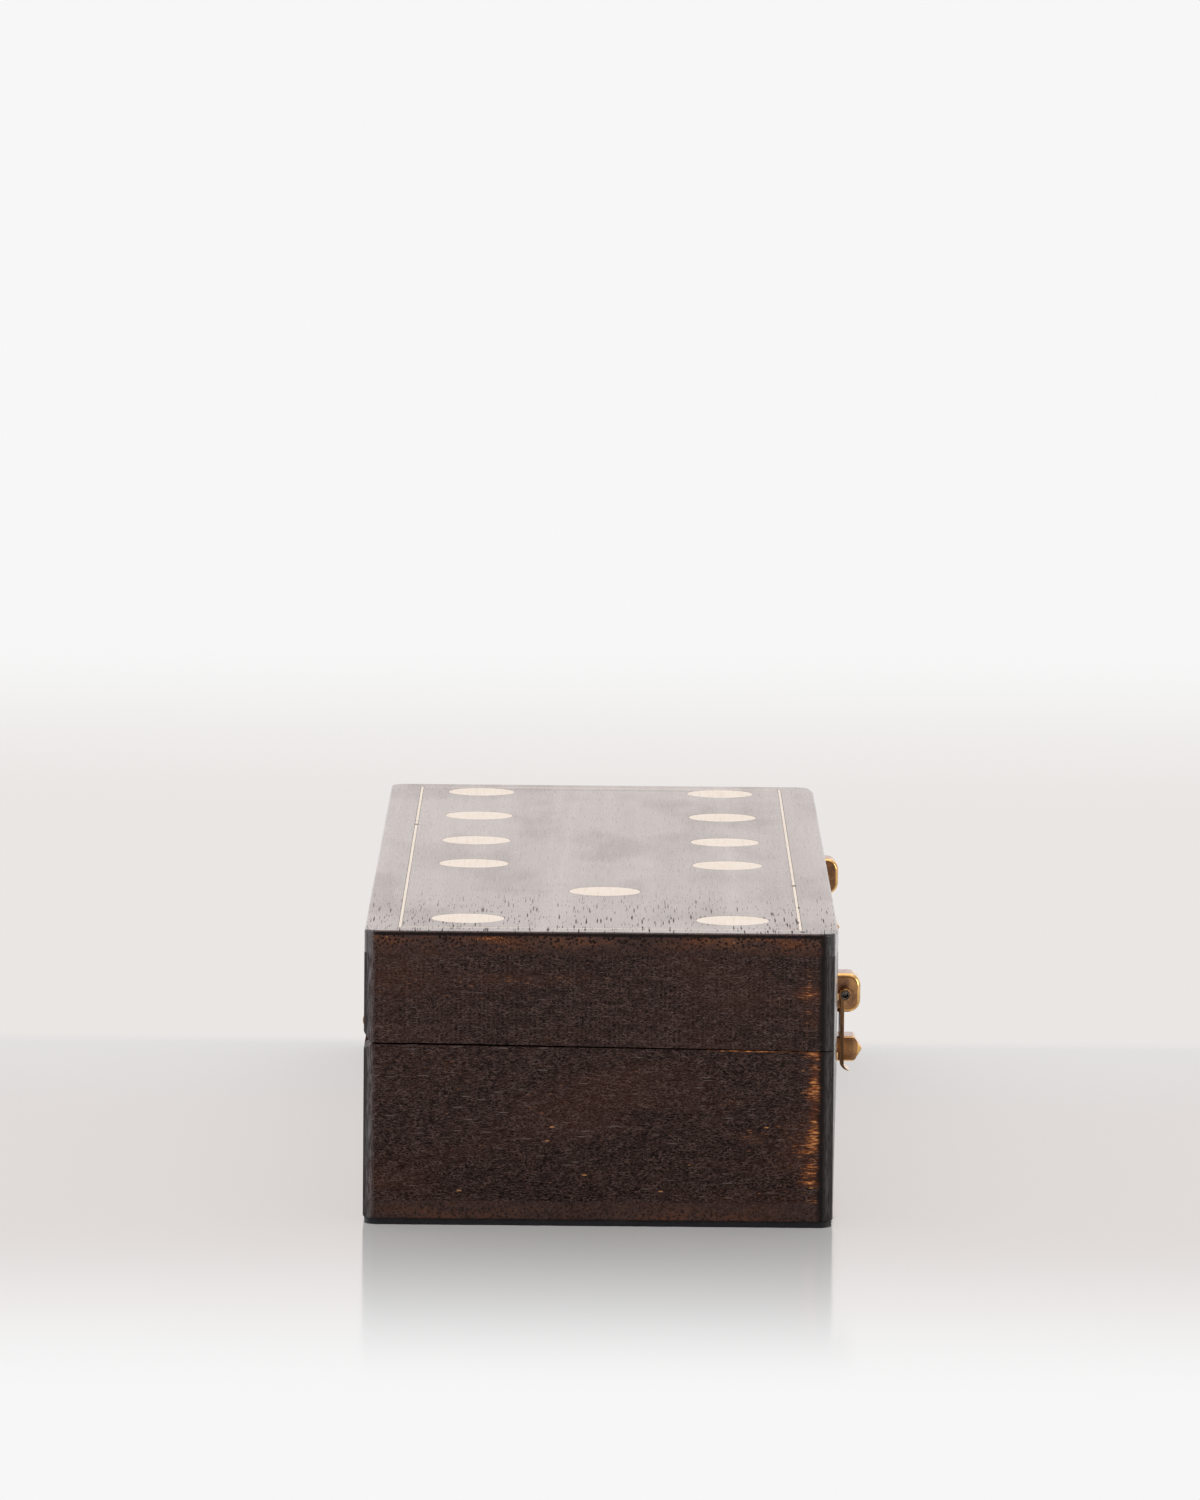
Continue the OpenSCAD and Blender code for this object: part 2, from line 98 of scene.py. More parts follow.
class Graph:
    """The node tree of one material or world, with a short call for each step of a recipe."""

    def __init__(self, owner: bpy.types.Material | bpy.types.World) -> None:
        """Empties the node tree of its owner.

        Args:
            owner: The material or world.
        """
        owner.use_nodes = True
        self.owner = owner
        self.tree = owner.node_tree
        self.tree.nodes.clear()
        self.coordinates = self.node("ShaderNodeTexCoord", {}).outputs

    @classmethod
    def of_material(cls, name: str) -> "Graph":
        """Starts an empty material of that name."""
        return cls(bpy.data.materials.new(name))

    @cached_property
    def mm(self) -> Socket:
        """The object's own coordinate, in millimetres."""
        return self.vector("SCALE", self.coordinates["Object"], scale=1 / MM)

    def node(self, kind: str, feeds: dict, **settings: object) -> bpy.types.Node:
        """Adds a node.

        Args:
            kind: Blender's name for the node type.
            feeds: Input name or number to a value or another node's output.
            settings: Attributes of the node.

        Returns:
            The new node.
        """
        made = self.tree.nodes.new(kind)
        for key, value in settings.items():
            setattr(made, key, value)
        for key, value in feeds.items():
            if isinstance(value, bpy.types.NodeSocket):
                self.tree.links.new(value, made.inputs[key])
            else:
                made.inputs[key].default_value = value
        return made

    def vector(self, operation: str, first: Socket, second: object = None, scale: float = 1.0) -> Socket:
        """Vector arithmetic on one or two vectors.

        Args:
            operation: The Vector Math operation.
            first: The first vector.
            second: The second vector, where the operation has one.
            scale: The factor of the SCALE operation.

        Returns:
            The resulting vector.
        """
        feeds = {0: first}
        if second is not None:
            feeds[1] = second
        if operation == "SCALE":
            feeds["Scale"] = scale
        return self.node("ShaderNodeVectorMath", feeds, operation=operation).outputs["Vector"]

    def length(self, vector: Socket) -> Socket:
        """Length of a vector."""
        return self.node("ShaderNodeVectorMath", {0: vector}, operation="LENGTH").outputs["Value"]

    def math(self, operation: str, first: object, second: object = 0.0, clamp: bool = False) -> Socket:
        """Arithmetic on one or two numbers, held between 0 and 1 if clamp is set."""
        feeds = {0: first, 1: second}
        return self.node("ShaderNodeMath", feeds, operation=operation, use_clamp=clamp).outputs[0]

    def times(self, first: object, second: object) -> Socket:
        """Product of two numbers."""
        return self.math("MULTIPLY", first, second)

    def minus(self, first: object, second: object) -> Socket:
        """Difference of two numbers."""
        return self.math("SUBTRACT", first, second)

    def magnitude(self, value: Socket) -> Socket:
        """A number without its sign."""
        return self.math("ABSOLUTE", value)

    def total(self, parts: Iterable[Socket], clamp: bool = True) -> Socket:
        """Sum of several masks.

        Args:
            parts: The masks, at least one.
            clamp: Whether each running sum is held between 0 and 1.

        Returns:
            The sum.
        """
        parts = list(parts)
        result = parts[0]
        for part in parts[1:]:
            result = self.math("ADD", result, part, clamp=clamp)
        return result

    def axes(self, vector: Socket) -> tuple[Socket, Socket, Socket]:
        """The three numbers of a vector."""
        parts = self.node("ShaderNodeSeparateXYZ", {0: vector}).outputs
        return parts[0], parts[1], parts[2]

    def mapped(self, vector: Socket, location: Triple = (0, 0, 0), rotation: Triple = (0, 0, 0),
               scale: Triple = (1, 1, 1), inverse: bool = False) -> Socket:
        """Moves, turns and scales a coordinate, or lays a texture at that place if inverse is set."""
        feeds = {"Vector": vector, "Location": location, "Rotation": rotation, "Scale": scale}
        kind = "TEXTURE" if inverse else "POINT"
        return self.node("ShaderNodeMapping", feeds, vector_type=kind).outputs[0]

    def noise(self, vector: Socket, scale: float, detail: float = 3.0, roughness: float = 0.55,
              distortion: float = 0.0) -> Socket:
        """Fractal noise, 0 to 1, with that many features to a unit of the coordinate."""
        feeds = {"Vector": vector, "Scale": scale, "Detail": detail, "Roughness": roughness,
                 "Distortion": distortion}
        return self.node("ShaderNodeTexNoise", feeds).outputs[0]

    def cells(self, vector: Socket, scale: float = 1.0) -> tuple[Socket, Socket]:
        """Distance to the nearest of many scattered points, and a random number of that point."""
        made = self.node("ShaderNodeTexVoronoi", {"Vector": vector, "Scale": scale})
        return made.outputs["Distance"], self.axes(made.outputs["Color"])[0]

    def ramp(self, value: Socket, low: float, high: float,
             to_low: float = 0.0, to_high: float = 1.0) -> Socket:
        """Smooth step from to_low, where the value is low, to to_high, where it is high, held beyond."""
        feeds = {"Value": value, "From Min": low, "From Max": high, "To Min": to_low, "To Max": to_high}
        return self.node("ShaderNodeMapRange", feeds, interpolation_type="SMOOTHSTEP").outputs[0]

    def mix(self, factor: object, first: object, second: object) -> Socket:
        """Blend of two colours, the first at a factor of 0 and the second at 1."""
        feeds = {0: factor, 6: first, 7: second}
        return self.node("ShaderNodeMix", feeds, data_type="RGBA").outputs[2]

    def spot(self, spot: "WearSpot", place: Socket) -> Socket:
        """Soft ellipsoid at a place in millimetres, the spot's strength in its middle and 0 at its edge."""
        inside = self.mapped(place, location=spot.middle, scale=spot.reach, inverse=True)
        return self.ramp(self.length(inside), 1.0, 0.1, 0.0, spot.strength)

    def bump(self, height: Socket, depth: float, under: Socket | None = None) -> Socket:
        """Fine relief.

        Args:
            height: The relief, 0 to 1.
            depth: The height of 1, in millimetres.
            under: The normal of a coarser relief under it.

        Returns:
            The normal.
        """
        feeds = {"Height": height, "Distance": depth * MM, "Strength": 1.0}
        if under is not None:
            feeds["Normal"] = under
        return self.node("ShaderNodeBump", feeds).outputs[0]

    def finish(self, feeds: dict) -> bpy.types.Material:
        """Closes the recipe with the shader that takes these feeds, and hands over its material."""
        self.node("ShaderNodeOutputMaterial", {0: self.node("ShaderNodeBsdfPrincipled", feeds).outputs[0]})
        return self.owner


@dataclass(frozen=True)
class WearSpot:
    """A place where the stain is rubbed through, or a small dark dent.

    Attributes:
        middle: Its middle, in millimetres.
        reach: Its half size along each axis, in millimetres.
        strength: 1 where it is bare at its middle.
    """

    middle: Triple
    reach: Triple
    strength: float = 1.0

    @classmethod
    def on_end(cls, end: float, y: float, z: float, wide: float, tall: float,
               strength: float) -> "WearSpot":
        """Spot on an end face of the box, reaching that far across it and up, and deep enough."""
        return cls((end, y, z), (3.0, wide, tall), strength)


@dataclass(frozen=True)
class StainedWood:
    """Open-pored wood with a nearly black stain.

    Attributes:
        name: The material's name.
        grain: The way its fibres run.
        seed: Shifts the pattern, so that no two boards are alike.
        spots: Where the stain is rubbed through.
        marks: Small dark dents.
        dark: The stain where it is deepest.
        light: The stain where it is thinnest.
        crest_highlight: The painted highlight on the crests of the raised grain.
        warm: The brown that shows where the stain is uneven.
        pore: What lies in the pores.
        corner_shade: The painted shade on the upright corners and under the top edge.
        corner_highlight_colour: Painted highlight along the upright corners, broken up like scratches.
        chipped: The wood that a chip in the stain shows.
        thinned: The stain where it is rubbed thin.
        bare_dark: The bare wood between its fibres.
        bare_light: The bare wood on its fibres.
        dented: The dirt in a dent.
        sawn_dark: The darker zones of the end grain.
        sawn_light: Its lighter zones.
        saw_mark: The slanting marks of the saw.
        sawn_pore: The open pores of the end grain.
        crest_len: Length of a crest of the raised grain.
        crest_gap: Distance between two crests.
        crest_highlight_share: How strongly the painted highlight on the crests shows.
        pore_len: Length of a cell that holds one pore.
        pore_gap: Width of that cell.
        pore_from: Level above which a cell has its pore, lower for more pores.
        pore_wide: Half width of a pore as a share of its cell.
        pore_share: How strongly the pores show.
        pore_fade: How strong the pores still are at the far end of the box.
        shine: Roughness of the sound surface.
        wax: Weight of the wax coat.
        wax_rough: Roughness of that coat, and of the sanded flats beside the clasps.
        figure_len: Length of the broad figure.
        streak_len: Length of a streak in the figure.
        sawn_from: Height at which the look of end grain starts, in millimetres.
        sawn_to: Height at which it is full.
        sawn_share: How strongly the end grain shows.
        edge_x: Half the box's length, in millimetres.
        edge_y: Half its width.
        edge_z: Its height.
        edge_front: How far the painted corner shade reaches in on the clasps' side.
        edge_back: How far it reaches in on the hinges' side.
        edge_depth: How far it reaches along the box.
    """

    name: str
    grain: Grain
    seed: float
    spots: tuple[WearSpot, ...] = ()
    marks: tuple[WearSpot, ...] = ()
    dark: Colour = tint(5, 1, 1)
    light: Colour = tint(54, 35, 31)
    crest_highlight: Colour = tint(110, 88, 82)
    warm: Colour = tint(68, 37, 22)
    pore: Colour = tint(124, 110, 105)
    corner_shade: Colour = tint(21, 17, 17)
    corner_highlight_colour: Colour = tint(124, 118, 119)
    chipped: Colour = tint(196, 140, 84)
    thinned: Colour = tint(84, 46, 29)
    bare_dark: Colour = tint(140, 78, 43)
    bare_light: Colour = tint(222, 146, 88)
    dented: Colour = tint(12, 9, 9)
    sawn_dark: Colour = tint(78, 57, 51)
    sawn_light: Colour = tint(118, 73, 49)
    saw_mark: Colour = tint(118, 78, 54)
    sawn_pore: Colour = tint(10, 4, 4)
    crest_len: float = 0.7
    crest_gap: float = 0.21
    crest_highlight_share: float = 0.68
    pore_len: float = 6.0
    pore_gap: float = 0.56
    pore_from: float = 1.3
    pore_wide: float = 0.19
    pore_share: float = 0.7
    pore_fade: float = 1.0
    shine: float = 0.42
    wax: float = 0.0
    wax_rough: float = 0.14
    figure_len: float = 26.0
    streak_len: float = 9.0
    sawn_from: float = 0.0
    sawn_to: float = 0.01
    sawn_share: float = 0.85
    edge_x: float = 97.5
    edge_y: float = 35.5
    edge_z: float = 44.7
    edge_front: float = 2.45
    edge_back: float = 0.9
    edge_depth: float = 6.0

    def stretched(self, g: Graph, length: float, width: float, shift: float) -> Socket:
        """Coordinate in which something that long and wide is one unit each way.

        Args:
            g: The recipe.
            length: Size along the fibres, in millimetres.
            width: Size across them, in millimetres.
            shift: Moves the pattern.

        Returns:
            The coordinate.
        """
        scale = tuple(1 / length if along else 1 / width for along in self.grain.value)
        away = self.seed * 13.7 + shift
        return g.mapped(g.mm, location=(away, away * 0.7, away * 1.3), scale=scale)

    def streaky(self, g: Graph, length: float, width: float, shift: float,
                detail: float = 3.0, roughness: float = 0.55, distortion: float = 0.0) -> Socket:
        """Fractal noise drawn out along the fibres, its features that long and wide."""
        return g.noise(self.stretched(g, length, width, shift), 1.0, detail, roughness, distortion)

    def pores(self, g: Graph, clusters: Socket) -> Socket:
        """Pores as short dashes along the fibres, denser in some places.

        Args:
            g: The recipe.
            clusters: Broad noise that thins them out.

        Returns:
            Their mask.
        """
        masks = []
        for size, shift in ((1.0, 3.0), (0.5, 5.0)):
            near, chance = g.cells(self.stretched(g, self.pore_len * size, self.pore_gap * size, shift))
            kept = g.math("ADD", chance, g.times(clusters, 1.8))
            kept = g.ramp(kept, self.pore_from, self.pore_from + 0.25)
            masks.append(g.times(g.ramp(near, self.pore_wide, self.pore_wide * 0.37), kept))
        fade = g.ramp(g.axes(g.mm)[0], -88.0, -40.0, 1.0, self.pore_fade)
        return g.times(g.total(masks), fade)

    def crests(self, g: Graph) -> Socket:
        """Crests of the raised grain, as short wavering hairlines.

        Args:
            g: The recipe.

        Returns:
            Their mask.
        """
        hills = self.streaky(g, self.crest_len, self.crest_gap, 53.0, 1.0, 0.5)
        line = g.ramp(g.magnitude(g.minus(hills, 0.5)), 0.075, 0.015)
        patches = self.streaky(g, self.crest_len * 3, self.crest_gap * 5, 57.0, 2.0)
        return g.times(line, g.ramp(patches, 0.3, 0.7, 0.45, 1.0))

    def flecks(self, g: Graph) -> Socket:
        """Mask of the rare chips in the stain that show the wood."""
        near, chance = g.cells(self.stretched(g, 8.0, 2.0, 23.0))
        return g.times(g.ramp(near, 0.06, 0.035), g.ramp(chance, 0.66, 0.72))

    def wear(self, g: Graph) -> tuple[Socket, Socket]:
        """Rubbed places with a ragged outline, broken up along the fibres.

        Args:
            g: The recipe.

        Returns:
            How far the stain is thinned, and the mask of the bare fibres, 1 where it is gone.
        """
        ragged = self.streaky(g, 6.0, 0.3, 29.0, 4.0, 0.7)
        push = g.times(g.minus(ragged, 0.5), 3.4)
        feeds = {0: g.times(push, self.grain.value[0]),
                 1: g.times(push, self.grain.value[1]), 2: 0.0}
        moved = g.vector("ADD", g.mm, g.node("ShaderNodeCombineXYZ", feeds).outputs[0])
        rub = g.total(g.spot(spot, moved) for spot in self.spots)
        fibres = self.streaky(g, 1.5, 0.19, 37.0, 2.0, 0.6)
        bare = g.ramp(g.math("ADD", rub, g.times(fibres, 3.4)), 2.3, 3.15)
        return g.ramp(rub, 0.02, 0.9), bare

    def end_grain(self, g: Graph) -> tuple[Socket, Socket]:
        """Where the fibres end at the surface.

        Args:
            g: The recipe.

        Returns:
            The mask, 1 on end grain, and how strongly the sawn look shows there.
        """
        sides = g.axes(g.coordinates["Normal"])
        facing = sides[0] if self.grain is Grain.ALONG_BOX else sides[1]
        ends = g.ramp(g.magnitude(facing), 0.75, 0.97)
        faint = 0.2 * self.sawn_share
        share = g.ramp(g.axes(g.mm)[2], self.sawn_from, self.sawn_to, faint, self.sawn_share)
        return ends, g.times(ends, share)

    def sawn(self, g: Graph, board: Socket) -> Socket:
        """Colour of the end grain: round pores in brown, with slanting marks of the saw.

        Args:
            g: The recipe.
            board: The board's colour, which shows through in places.

        Returns:
            The colour.
        """
        near, _ = g.cells(g.mapped(g.mm, scale=(1.9, 1.8, 2.1)))
        dots = g.ramp(near, 0.5, 0.3)
        lean = g.mapped(g.mm, rotation=(math.radians(-42), 0, 0))
        marks = g.noise(g.mapped(lean, scale=(1.0, 2.4, 0.25)), 1.0, 2.0, 0.6)
        zones = g.noise(g.mapped(g.mm, location=(self.seed, 2.0, 5.0), scale=(0.05, 0.05, 0.05)), 1.0, 1.0)
        cloud = g.noise(g.mapped(g.mm, scale=(0.2, 0.2, 0.9)), 1.0, 3.0, 0.6)
        colour = g.mix(g.ramp(cloud, 0.4, 0.7), self.sawn_dark, self.sawn_light)
        slanted = g.times(g.ramp(marks, 0.5, 0.62), g.ramp(zones, 0.42, 0.6, 0.1, 0.6))
        colour = g.mix(slanted, colour, self.saw_mark)
        colour = g.mix(g.ramp(zones, 0.3, 0.55, 0.35, 0.9), board, colour)
        return g.mix(g.times(dots, 0.95), colour, self.sawn_pore)

    def shade_and_highlight_on_corners(self, g: Graph) -> tuple[Socket, Socket, Socket]:
        """Upright corners and the top edge, with painted shade and a painted highlight.

        Args:
            g: The recipe.

        Returns:
            Masks of the painted shade, of the painted highlight along the corners, and of the flats beside
            the clasps.
        """
        waver = g.times(g.noise(g.mapped(g.mm, scale=(0.4, 0.4, 0.4)), 1.0, 4.0, 0.6), 0.9)
        x, y, z = g.axes(g.mm)
        x_in = g.math("ADD", g.minus(g.magnitude(x), self.edge_x - self.edge_depth), waver)
        reach = g.ramp(y, -1.0, 1.0, self.edge_front, self.edge_back)
        inner = g.minus(self.edge_y, reach)
        y_in = g.math("ADD", g.minus(g.magnitude(y), inner), waver)
        # Painted shade: the rounded upright corners, and a line just under the top edge.
        corners = g.times(g.ramp(x_in, 0.1, 0.5), g.ramp(y_in, 0.1, 0.9))
        arris = g.times(g.ramp(z, self.edge_z - 0.78, self.edge_z - 0.6),
                        g.ramp(z, self.edge_z - 0.18, self.edge_z - 0.3))
        # Painted highlight: a light, scratchy streak where a lamp's highlight falls on each upright corner,
        # stronger on the hinges' side.
        off = g.magnitude(g.minus(g.magnitude(y), self.edge_y - 0.95))
        drawn_out = g.mapped(g.mm, location=(self.seed, 1.0, 4.0), scale=(1.8, 6.5, 0.5))
        scratches = g.noise(drawn_out, 1.0, 4.0, 0.65)
        shown = g.times(g.ramp(scratches, 0.38, 0.62, 0.15, 1.0), g.ramp(y, -1.0, 1.0, 0.3, 0.75))
        corner_highlight_mask = g.times(g.times(g.ramp(off, 0.9, 0.05), shown), g.ramp(x_in, 3.6, 4.6))
        sanded = g.times(g.ramp(y, 0.22 - self.edge_y, 0.08 - self.edge_y),
                         g.ramp(scratches, 0.4, 0.62, 1.0, 0.6))
        return g.total((corners, arris)), corner_highlight_mask, g.times(corners, sanded)

    def make(self) -> bpy.types.Material:
        """Builds the material.

        Returns:
            The material.
        """
        g = Graph.of_material(self.name)
        figure = self.streaky(g, self.figure_len, 5.0, 41.0, distortion=0.4)
        patches = self.streaky(g, self.figure_len * 1.2, 9.0, 43.0, 2.0)
        streaks = self.streaky(g, self.streak_len, 0.42, 47.0, 4.0, 0.62)
        mottle = self.streaky(g, 0.8, 0.3, 61.0, 2.0, 0.6)
        crests = self.crests(g)
        pores = self.pores(g, figure)
        flecks = self.flecks(g)
        ends, sawn = self.end_grain(g)
        corner_shade, corner_highlight_mask, sanded = self.shade_and_highlight_on_corners(g)

        tone = g.total((g.times(g.ramp(figure, 0.3, 0.7), 0.2),
                        g.times(g.ramp(streaks, 0.35, 0.7), 0.22),
                        g.times(g.ramp(mottle, 0.4, 0.6), 0.52)))
        colour = g.mix(tone, self.dark, self.light)
        colour = g.mix(g.ramp(patches, 0.46, 0.75, 0.0, 0.5), colour, self.warm)
        # Painted highlight: the crests of the raised grain are lightened in colour to stand for their
        # sheen.
        colour = g.mix(g.times(crests, self.crest_highlight_share), colour, self.crest_highlight)
        colour = g.mix(sawn, colour, self.sawn(g, colour))
        colour = g.mix(g.times(pores, self.pore_share), colour, self.pore)
        colour = g.mix(g.times(flecks, 0.9), colour, self.chipped)
        rough = g.total((g.ramp(figure, 0.25, 0.75, self.shine - 0.06, self.shine + 0.08),
                         g.times(pores, 0.4), g.times(ends, 0.12)))
        if self.spots:
            thinned, bare = self.wear(g)
            speckled = g.mix(g.ramp(mottle, 0.38, 0.6), self.bare_dark, self.bare_light)
            colour = g.mix(g.times(thinned, 0.7), colour, self.thinned)
            colour = g.mix(bare, colour, speckled)
            rough = g.math("ADD", rough, g.times(bare, 0.2), clamp=True)
        # Painted shade: the upright corners and the line under the top edge are darkened nearly to black.
        colour = g.mix(g.times(corner_shade, 0.92), colour, self.corner_shade)
        # Painted highlight along the upright corners.
        colour = g.mix(corner_highlight_mask, colour, self.corner_highlight_colour)
        blotches = self.streaky(g, 42.0, 15.0, 67.0, 2.0)
        wax = g.times(g.ramp(blotches, 0.34, 0.56, 0.8, 1.0), self.wax)
        coat = g.math("MAXIMUM", g.times(g.minus(1.0, g.total((pores, ends))), wax), sanded)
        if self.marks:
            dents = g.total(g.spot(mark, g.mm) for mark in self.marks)
            colour = g.mix(g.ramp(dents, 0.3, 0.5), colour, self.dented)
            coat = g.times(coat, g.ramp(dents, 0.5, 0.3))
        coarse = g.bump(g.total((mottle, crests, g.times(streaks, 0.8)), clamp=False), 0.016)
        sunk = g.bump(g.minus(1.0, pores), 0.05, coarse)
        return g.finish({"Base Color": colour, "Roughness": rough, "Normal": sunk,
                         "Specular IOR Level": 0.1, "Coat Weight": coat,
                         "Coat Roughness": self.wax_rough, "Coat IOR": 1.4})


@dataclass(frozen=True)
class PaleInlay:
    """Cream wood of the pips and the border, sanded flush.

    Attributes:
        name: The material's name.
        body: Its main colour.
        line: The colour of its fine growth lines.
        aged: The yellower clouds in it.
        speck: Its small pores.
        dented: The dirt in a dent.
        coated: Weight of its polish.
        marks: Small dark dents and open joints.
    """

    name: str = "pale_inlay"
    body: Colour = tint(221, 205, 187)
    line: Colour = tint(200, 177, 150)
    aged: Colour = tint(210, 192, 162)
    speck: Colour = tint(128, 96, 66)
    dented: Colour = tint(14, 10, 9)
    coated: float = 0.5
    marks: tuple[WearSpot, ...] = ()

    def make(self) -> bpy.types.Material:
        """Builds the material.

        Returns:
            The material.
        """
        g = Graph.of_material(self.name)
        lines = g.noise(g.mapped(g.mm, scale=(0.12, 2.2, 2.2)), 1.0, 5.0, 0.6)
        cloud = g.noise(g.mm, 0.12, 2.0)
        near, chance = g.cells(g.mapped(g.mm, scale=(0.35, 1.5, 1.5)))
        specks = g.times(g.ramp(near, 0.16, 0.08), g.ramp(chance, 0.7, 0.85))
        colour = g.mix(g.ramp(lines, 0.45, 0.75, 0.0, 0.55), self.body, self.line)
        colour = g.mix(g.ramp(cloud, 0.4, 0.8, 0.0, 0.35), colour, self.aged)
        colour = g.mix(g.times(specks, 0.6), colour, self.speck)
        coat = self.coated
        if self.marks:
            dents = g.total(g.spot(mark, g.mm) for mark in self.marks)
            colour = g.mix(g.ramp(dents, 0.3, 0.5), colour, self.dented)
            coat = g.ramp(dents, 0.5, 0.3, 0.0, coat)
        rough = g.ramp(lines, 0.2, 0.8, 0.36, 0.5)
        relief = g.bump(g.minus(lines, specks), 0.015)
        return g.finish({"Base Color": colour, "Roughness": rough, "Normal": relief,
                         "Specular IOR Level": 0.4, "Coat Weight": coat,
                         "Coat Roughness": 0.16, "Coat IOR": 1.4})


@dataclass(frozen=True)
class AgedBrass:
    """Pressed brass that has gone coppery, with dark tarnish, fine scratches and bright rounded edges that
    are partly a painted highlight.

    Attributes:
        name: The material's name.
        bright: The rubbed metal.
        deep: The tone it has aged to.
        tarnish: The darkest film on it.
        edge: The metal on its rounded edges, which the hands keep bright; its brightness is partly a
            painted highlight.
        polish: Roughness of the rubbed metal.
    """

    name: str
    bright: Colour = tint(168, 120, 74)
    deep: Colour = tint(132, 90, 54)
    tarnish: Colour = tint(84, 54, 38)
    edge: Colour = tint(232, 184, 112)
    polish: float = 0.2

    def make(self) -> bpy.types.Material:
        """Builds the material.

        Returns:
            The material.
        """
        g = Graph.of_material(self.name)
        cloud = g.noise(g.mm, 0.32, 3.0, 0.5)
        film = g.noise(g.mapped(g.mm, location=(9, 4, 7)), 0.7, 5.0, 0.6)
        scratches = g.noise(g.mapped(g.mm, rotation=(0.5, 0.3, 0.2), scale=(0.5, 6.0, 5.0)), 1.0, 3.0)
        pits, kept = g.cells(g.mm, 1.3)
        pitted = g.times(g.ramp(pits, 0.12, 0.05), g.ramp(kept, 0.5, 0.6))
        colour = g.mix(g.ramp(cloud, 0.38, 0.62), self.bright, self.deep)
        colour = g.mix(g.ramp(film, 0.5, 0.8, 0.0, 0.7), colour, self.tarnish)
        colour = g.mix(g.times(pitted, 0.5), colour, self.tarnish)
        # Rubbed metal and painted highlight: the rounded edges, found by their slanted normals, are
        # lightened.
        across, along, up = (g.magnitude(side) for side in g.axes(g.coordinates["Normal"]))
        flatness = g.math("MAXIMUM", g.math("MAXIMUM", across, along), up)
        rubbed_and_highlight = g.times(g.ramp(flatness, 0.97, 0.88), g.ramp(film, 0.7, 0.4, 0.35, 1.0))
        colour = g.mix(rubbed_and_highlight, colour, self.edge)
        rough = g.total((g.ramp(film, 0.35, 0.75, self.polish, self.polish + 0.22),
                         g.times(pitted, 0.2)))
        rough = g.times(rough, g.ramp(rubbed_and_highlight, 0.0, 1.0, 1.0, 0.6))
        relief = g.bump(g.math("ADD", g.times(scratches, 0.5), cloud), 0.008)
        return g.finish({"Base Color": colour, "Metallic": 1.0, "Roughness": rough, "Normal": relief,
                         "Coat Weight": 0.6, "Coat Roughness": 0.15, "Coat IOR": 1.45})


@dataclass(frozen=True)
class DullSteel:
    """Wire of the pins, browned by age.

    Attributes:
        name: The material's name.
        drawn: The wire where it is clean.
        rust: The brown film on it.
    """

    name: str = "dull_steel"
    drawn: Colour = tint(104, 98, 92)
    rust: Colour = tint(44, 33, 27)

    def make(self) -> bpy.types.Material:
        """Builds the material.

        Returns:
            The material.
        """
        g = Graph.of_material(self.name)
        lines = g.noise(g.mapped(g.mm, scale=(0.3, 4.0, 4.0)), 1.0, 4.0)
        film = g.noise(g.mm, 1.6, 4.0, 0.65)
        colour = g.mix(g.ramp(film, 0.45, 0.7, 0.0, 0.8), self.drawn, self.rust)
        rough = g.ramp(film, 0.35, 0.7, 0.16, 0.4)
        return g.finish({"Base Color": colour, "Metallic": 1.0, "Roughness": rough,
                         "Normal": g.bump(lines, 0.01)})


@dataclass(frozen=True)
class BlackFelt:
    """Pressed black felt.

    Attributes:
        name: The material's name.
        deep: The felt between its fibres.
        fibre: The fibres on its surface.
        worn: The clouds where it is a little brown.
    """

    name: str = "black_felt"
    deep: Colour = tint(12, 12, 14)
    fibre: Colour = tint(46, 46, 50)
    worn: Colour = tint(30, 29, 31)

    def make(self) -> bpy.types.Material:
        """Builds the material.

        Returns:
            The material.
        """
        g = Graph.of_material(self.name)
        tangle = g.noise(g.mm, 5.5, 5.0, 0.75, 1.6)
        cloud = g.noise(g.mm, 0.4, 3.0)
        colour = g.mix(g.ramp(tangle, 0.35, 0.7), self.deep, self.fibre)
        colour = g.mix(g.ramp(cloud, 0.4, 0.8, 0.0, 0.4), colour, self.worn)
        return g.finish({"Base Color": colour, "Roughness": 0.95, "Normal": g.bump(tangle, 0.12),
                         "Sheen Weight": 0.35, "Sheen Roughness": 0.5, "Specular IOR Level": 0.15})


def merged_copy(node: str) -> bmesh.types.BMesh:
    """Copies a node's mesh, welds its triangles and joins its flat faces.

    Args:
        node: The node's name.

    Returns:
        The copy, to be shaped further.
    """
    bm = bmesh.new()
    bm.from_mesh(frame["nodes"][node].data)
    bmesh.ops.remove_doubles(bm, verts=bm.verts, dist=WELD)
    bmesh.ops.dissolve_limit(bm, angle_limit=FLAT, verts=bm.verts, edges=bm.edges)
    return bm


def round_edges(bm: bmesh.types.BMesh, radius: float, segments: int,
                chosen: Callable[[bmesh.types.BMEdge], bool] = lambda edge: True,
                sharper_than: float = 28.0) -> None:
    """Rounds the sharp outer edges that a test picks.

    Args:
        bm: The mesh.
        radius: The rounding's size.
        segments: Faces across the rounding.
        chosen: The test that an edge has to pass.
        sharper_than: The least angle between an edge's faces, in degrees.
    """
    least = math.radians(sharper_than)
    edges = [e for e in bm.edges if len(e.link_faces) == 2 and e.calc_face_angle(0.0) > least and chosen(e)]
    if edges:
        bmesh.ops.bevel(bm, geom=edges, offset=radius, offset_type="OFFSET", affect="EDGES",
                        segments=segments, profile=0.5, material=-1, clamp_overlap=True)


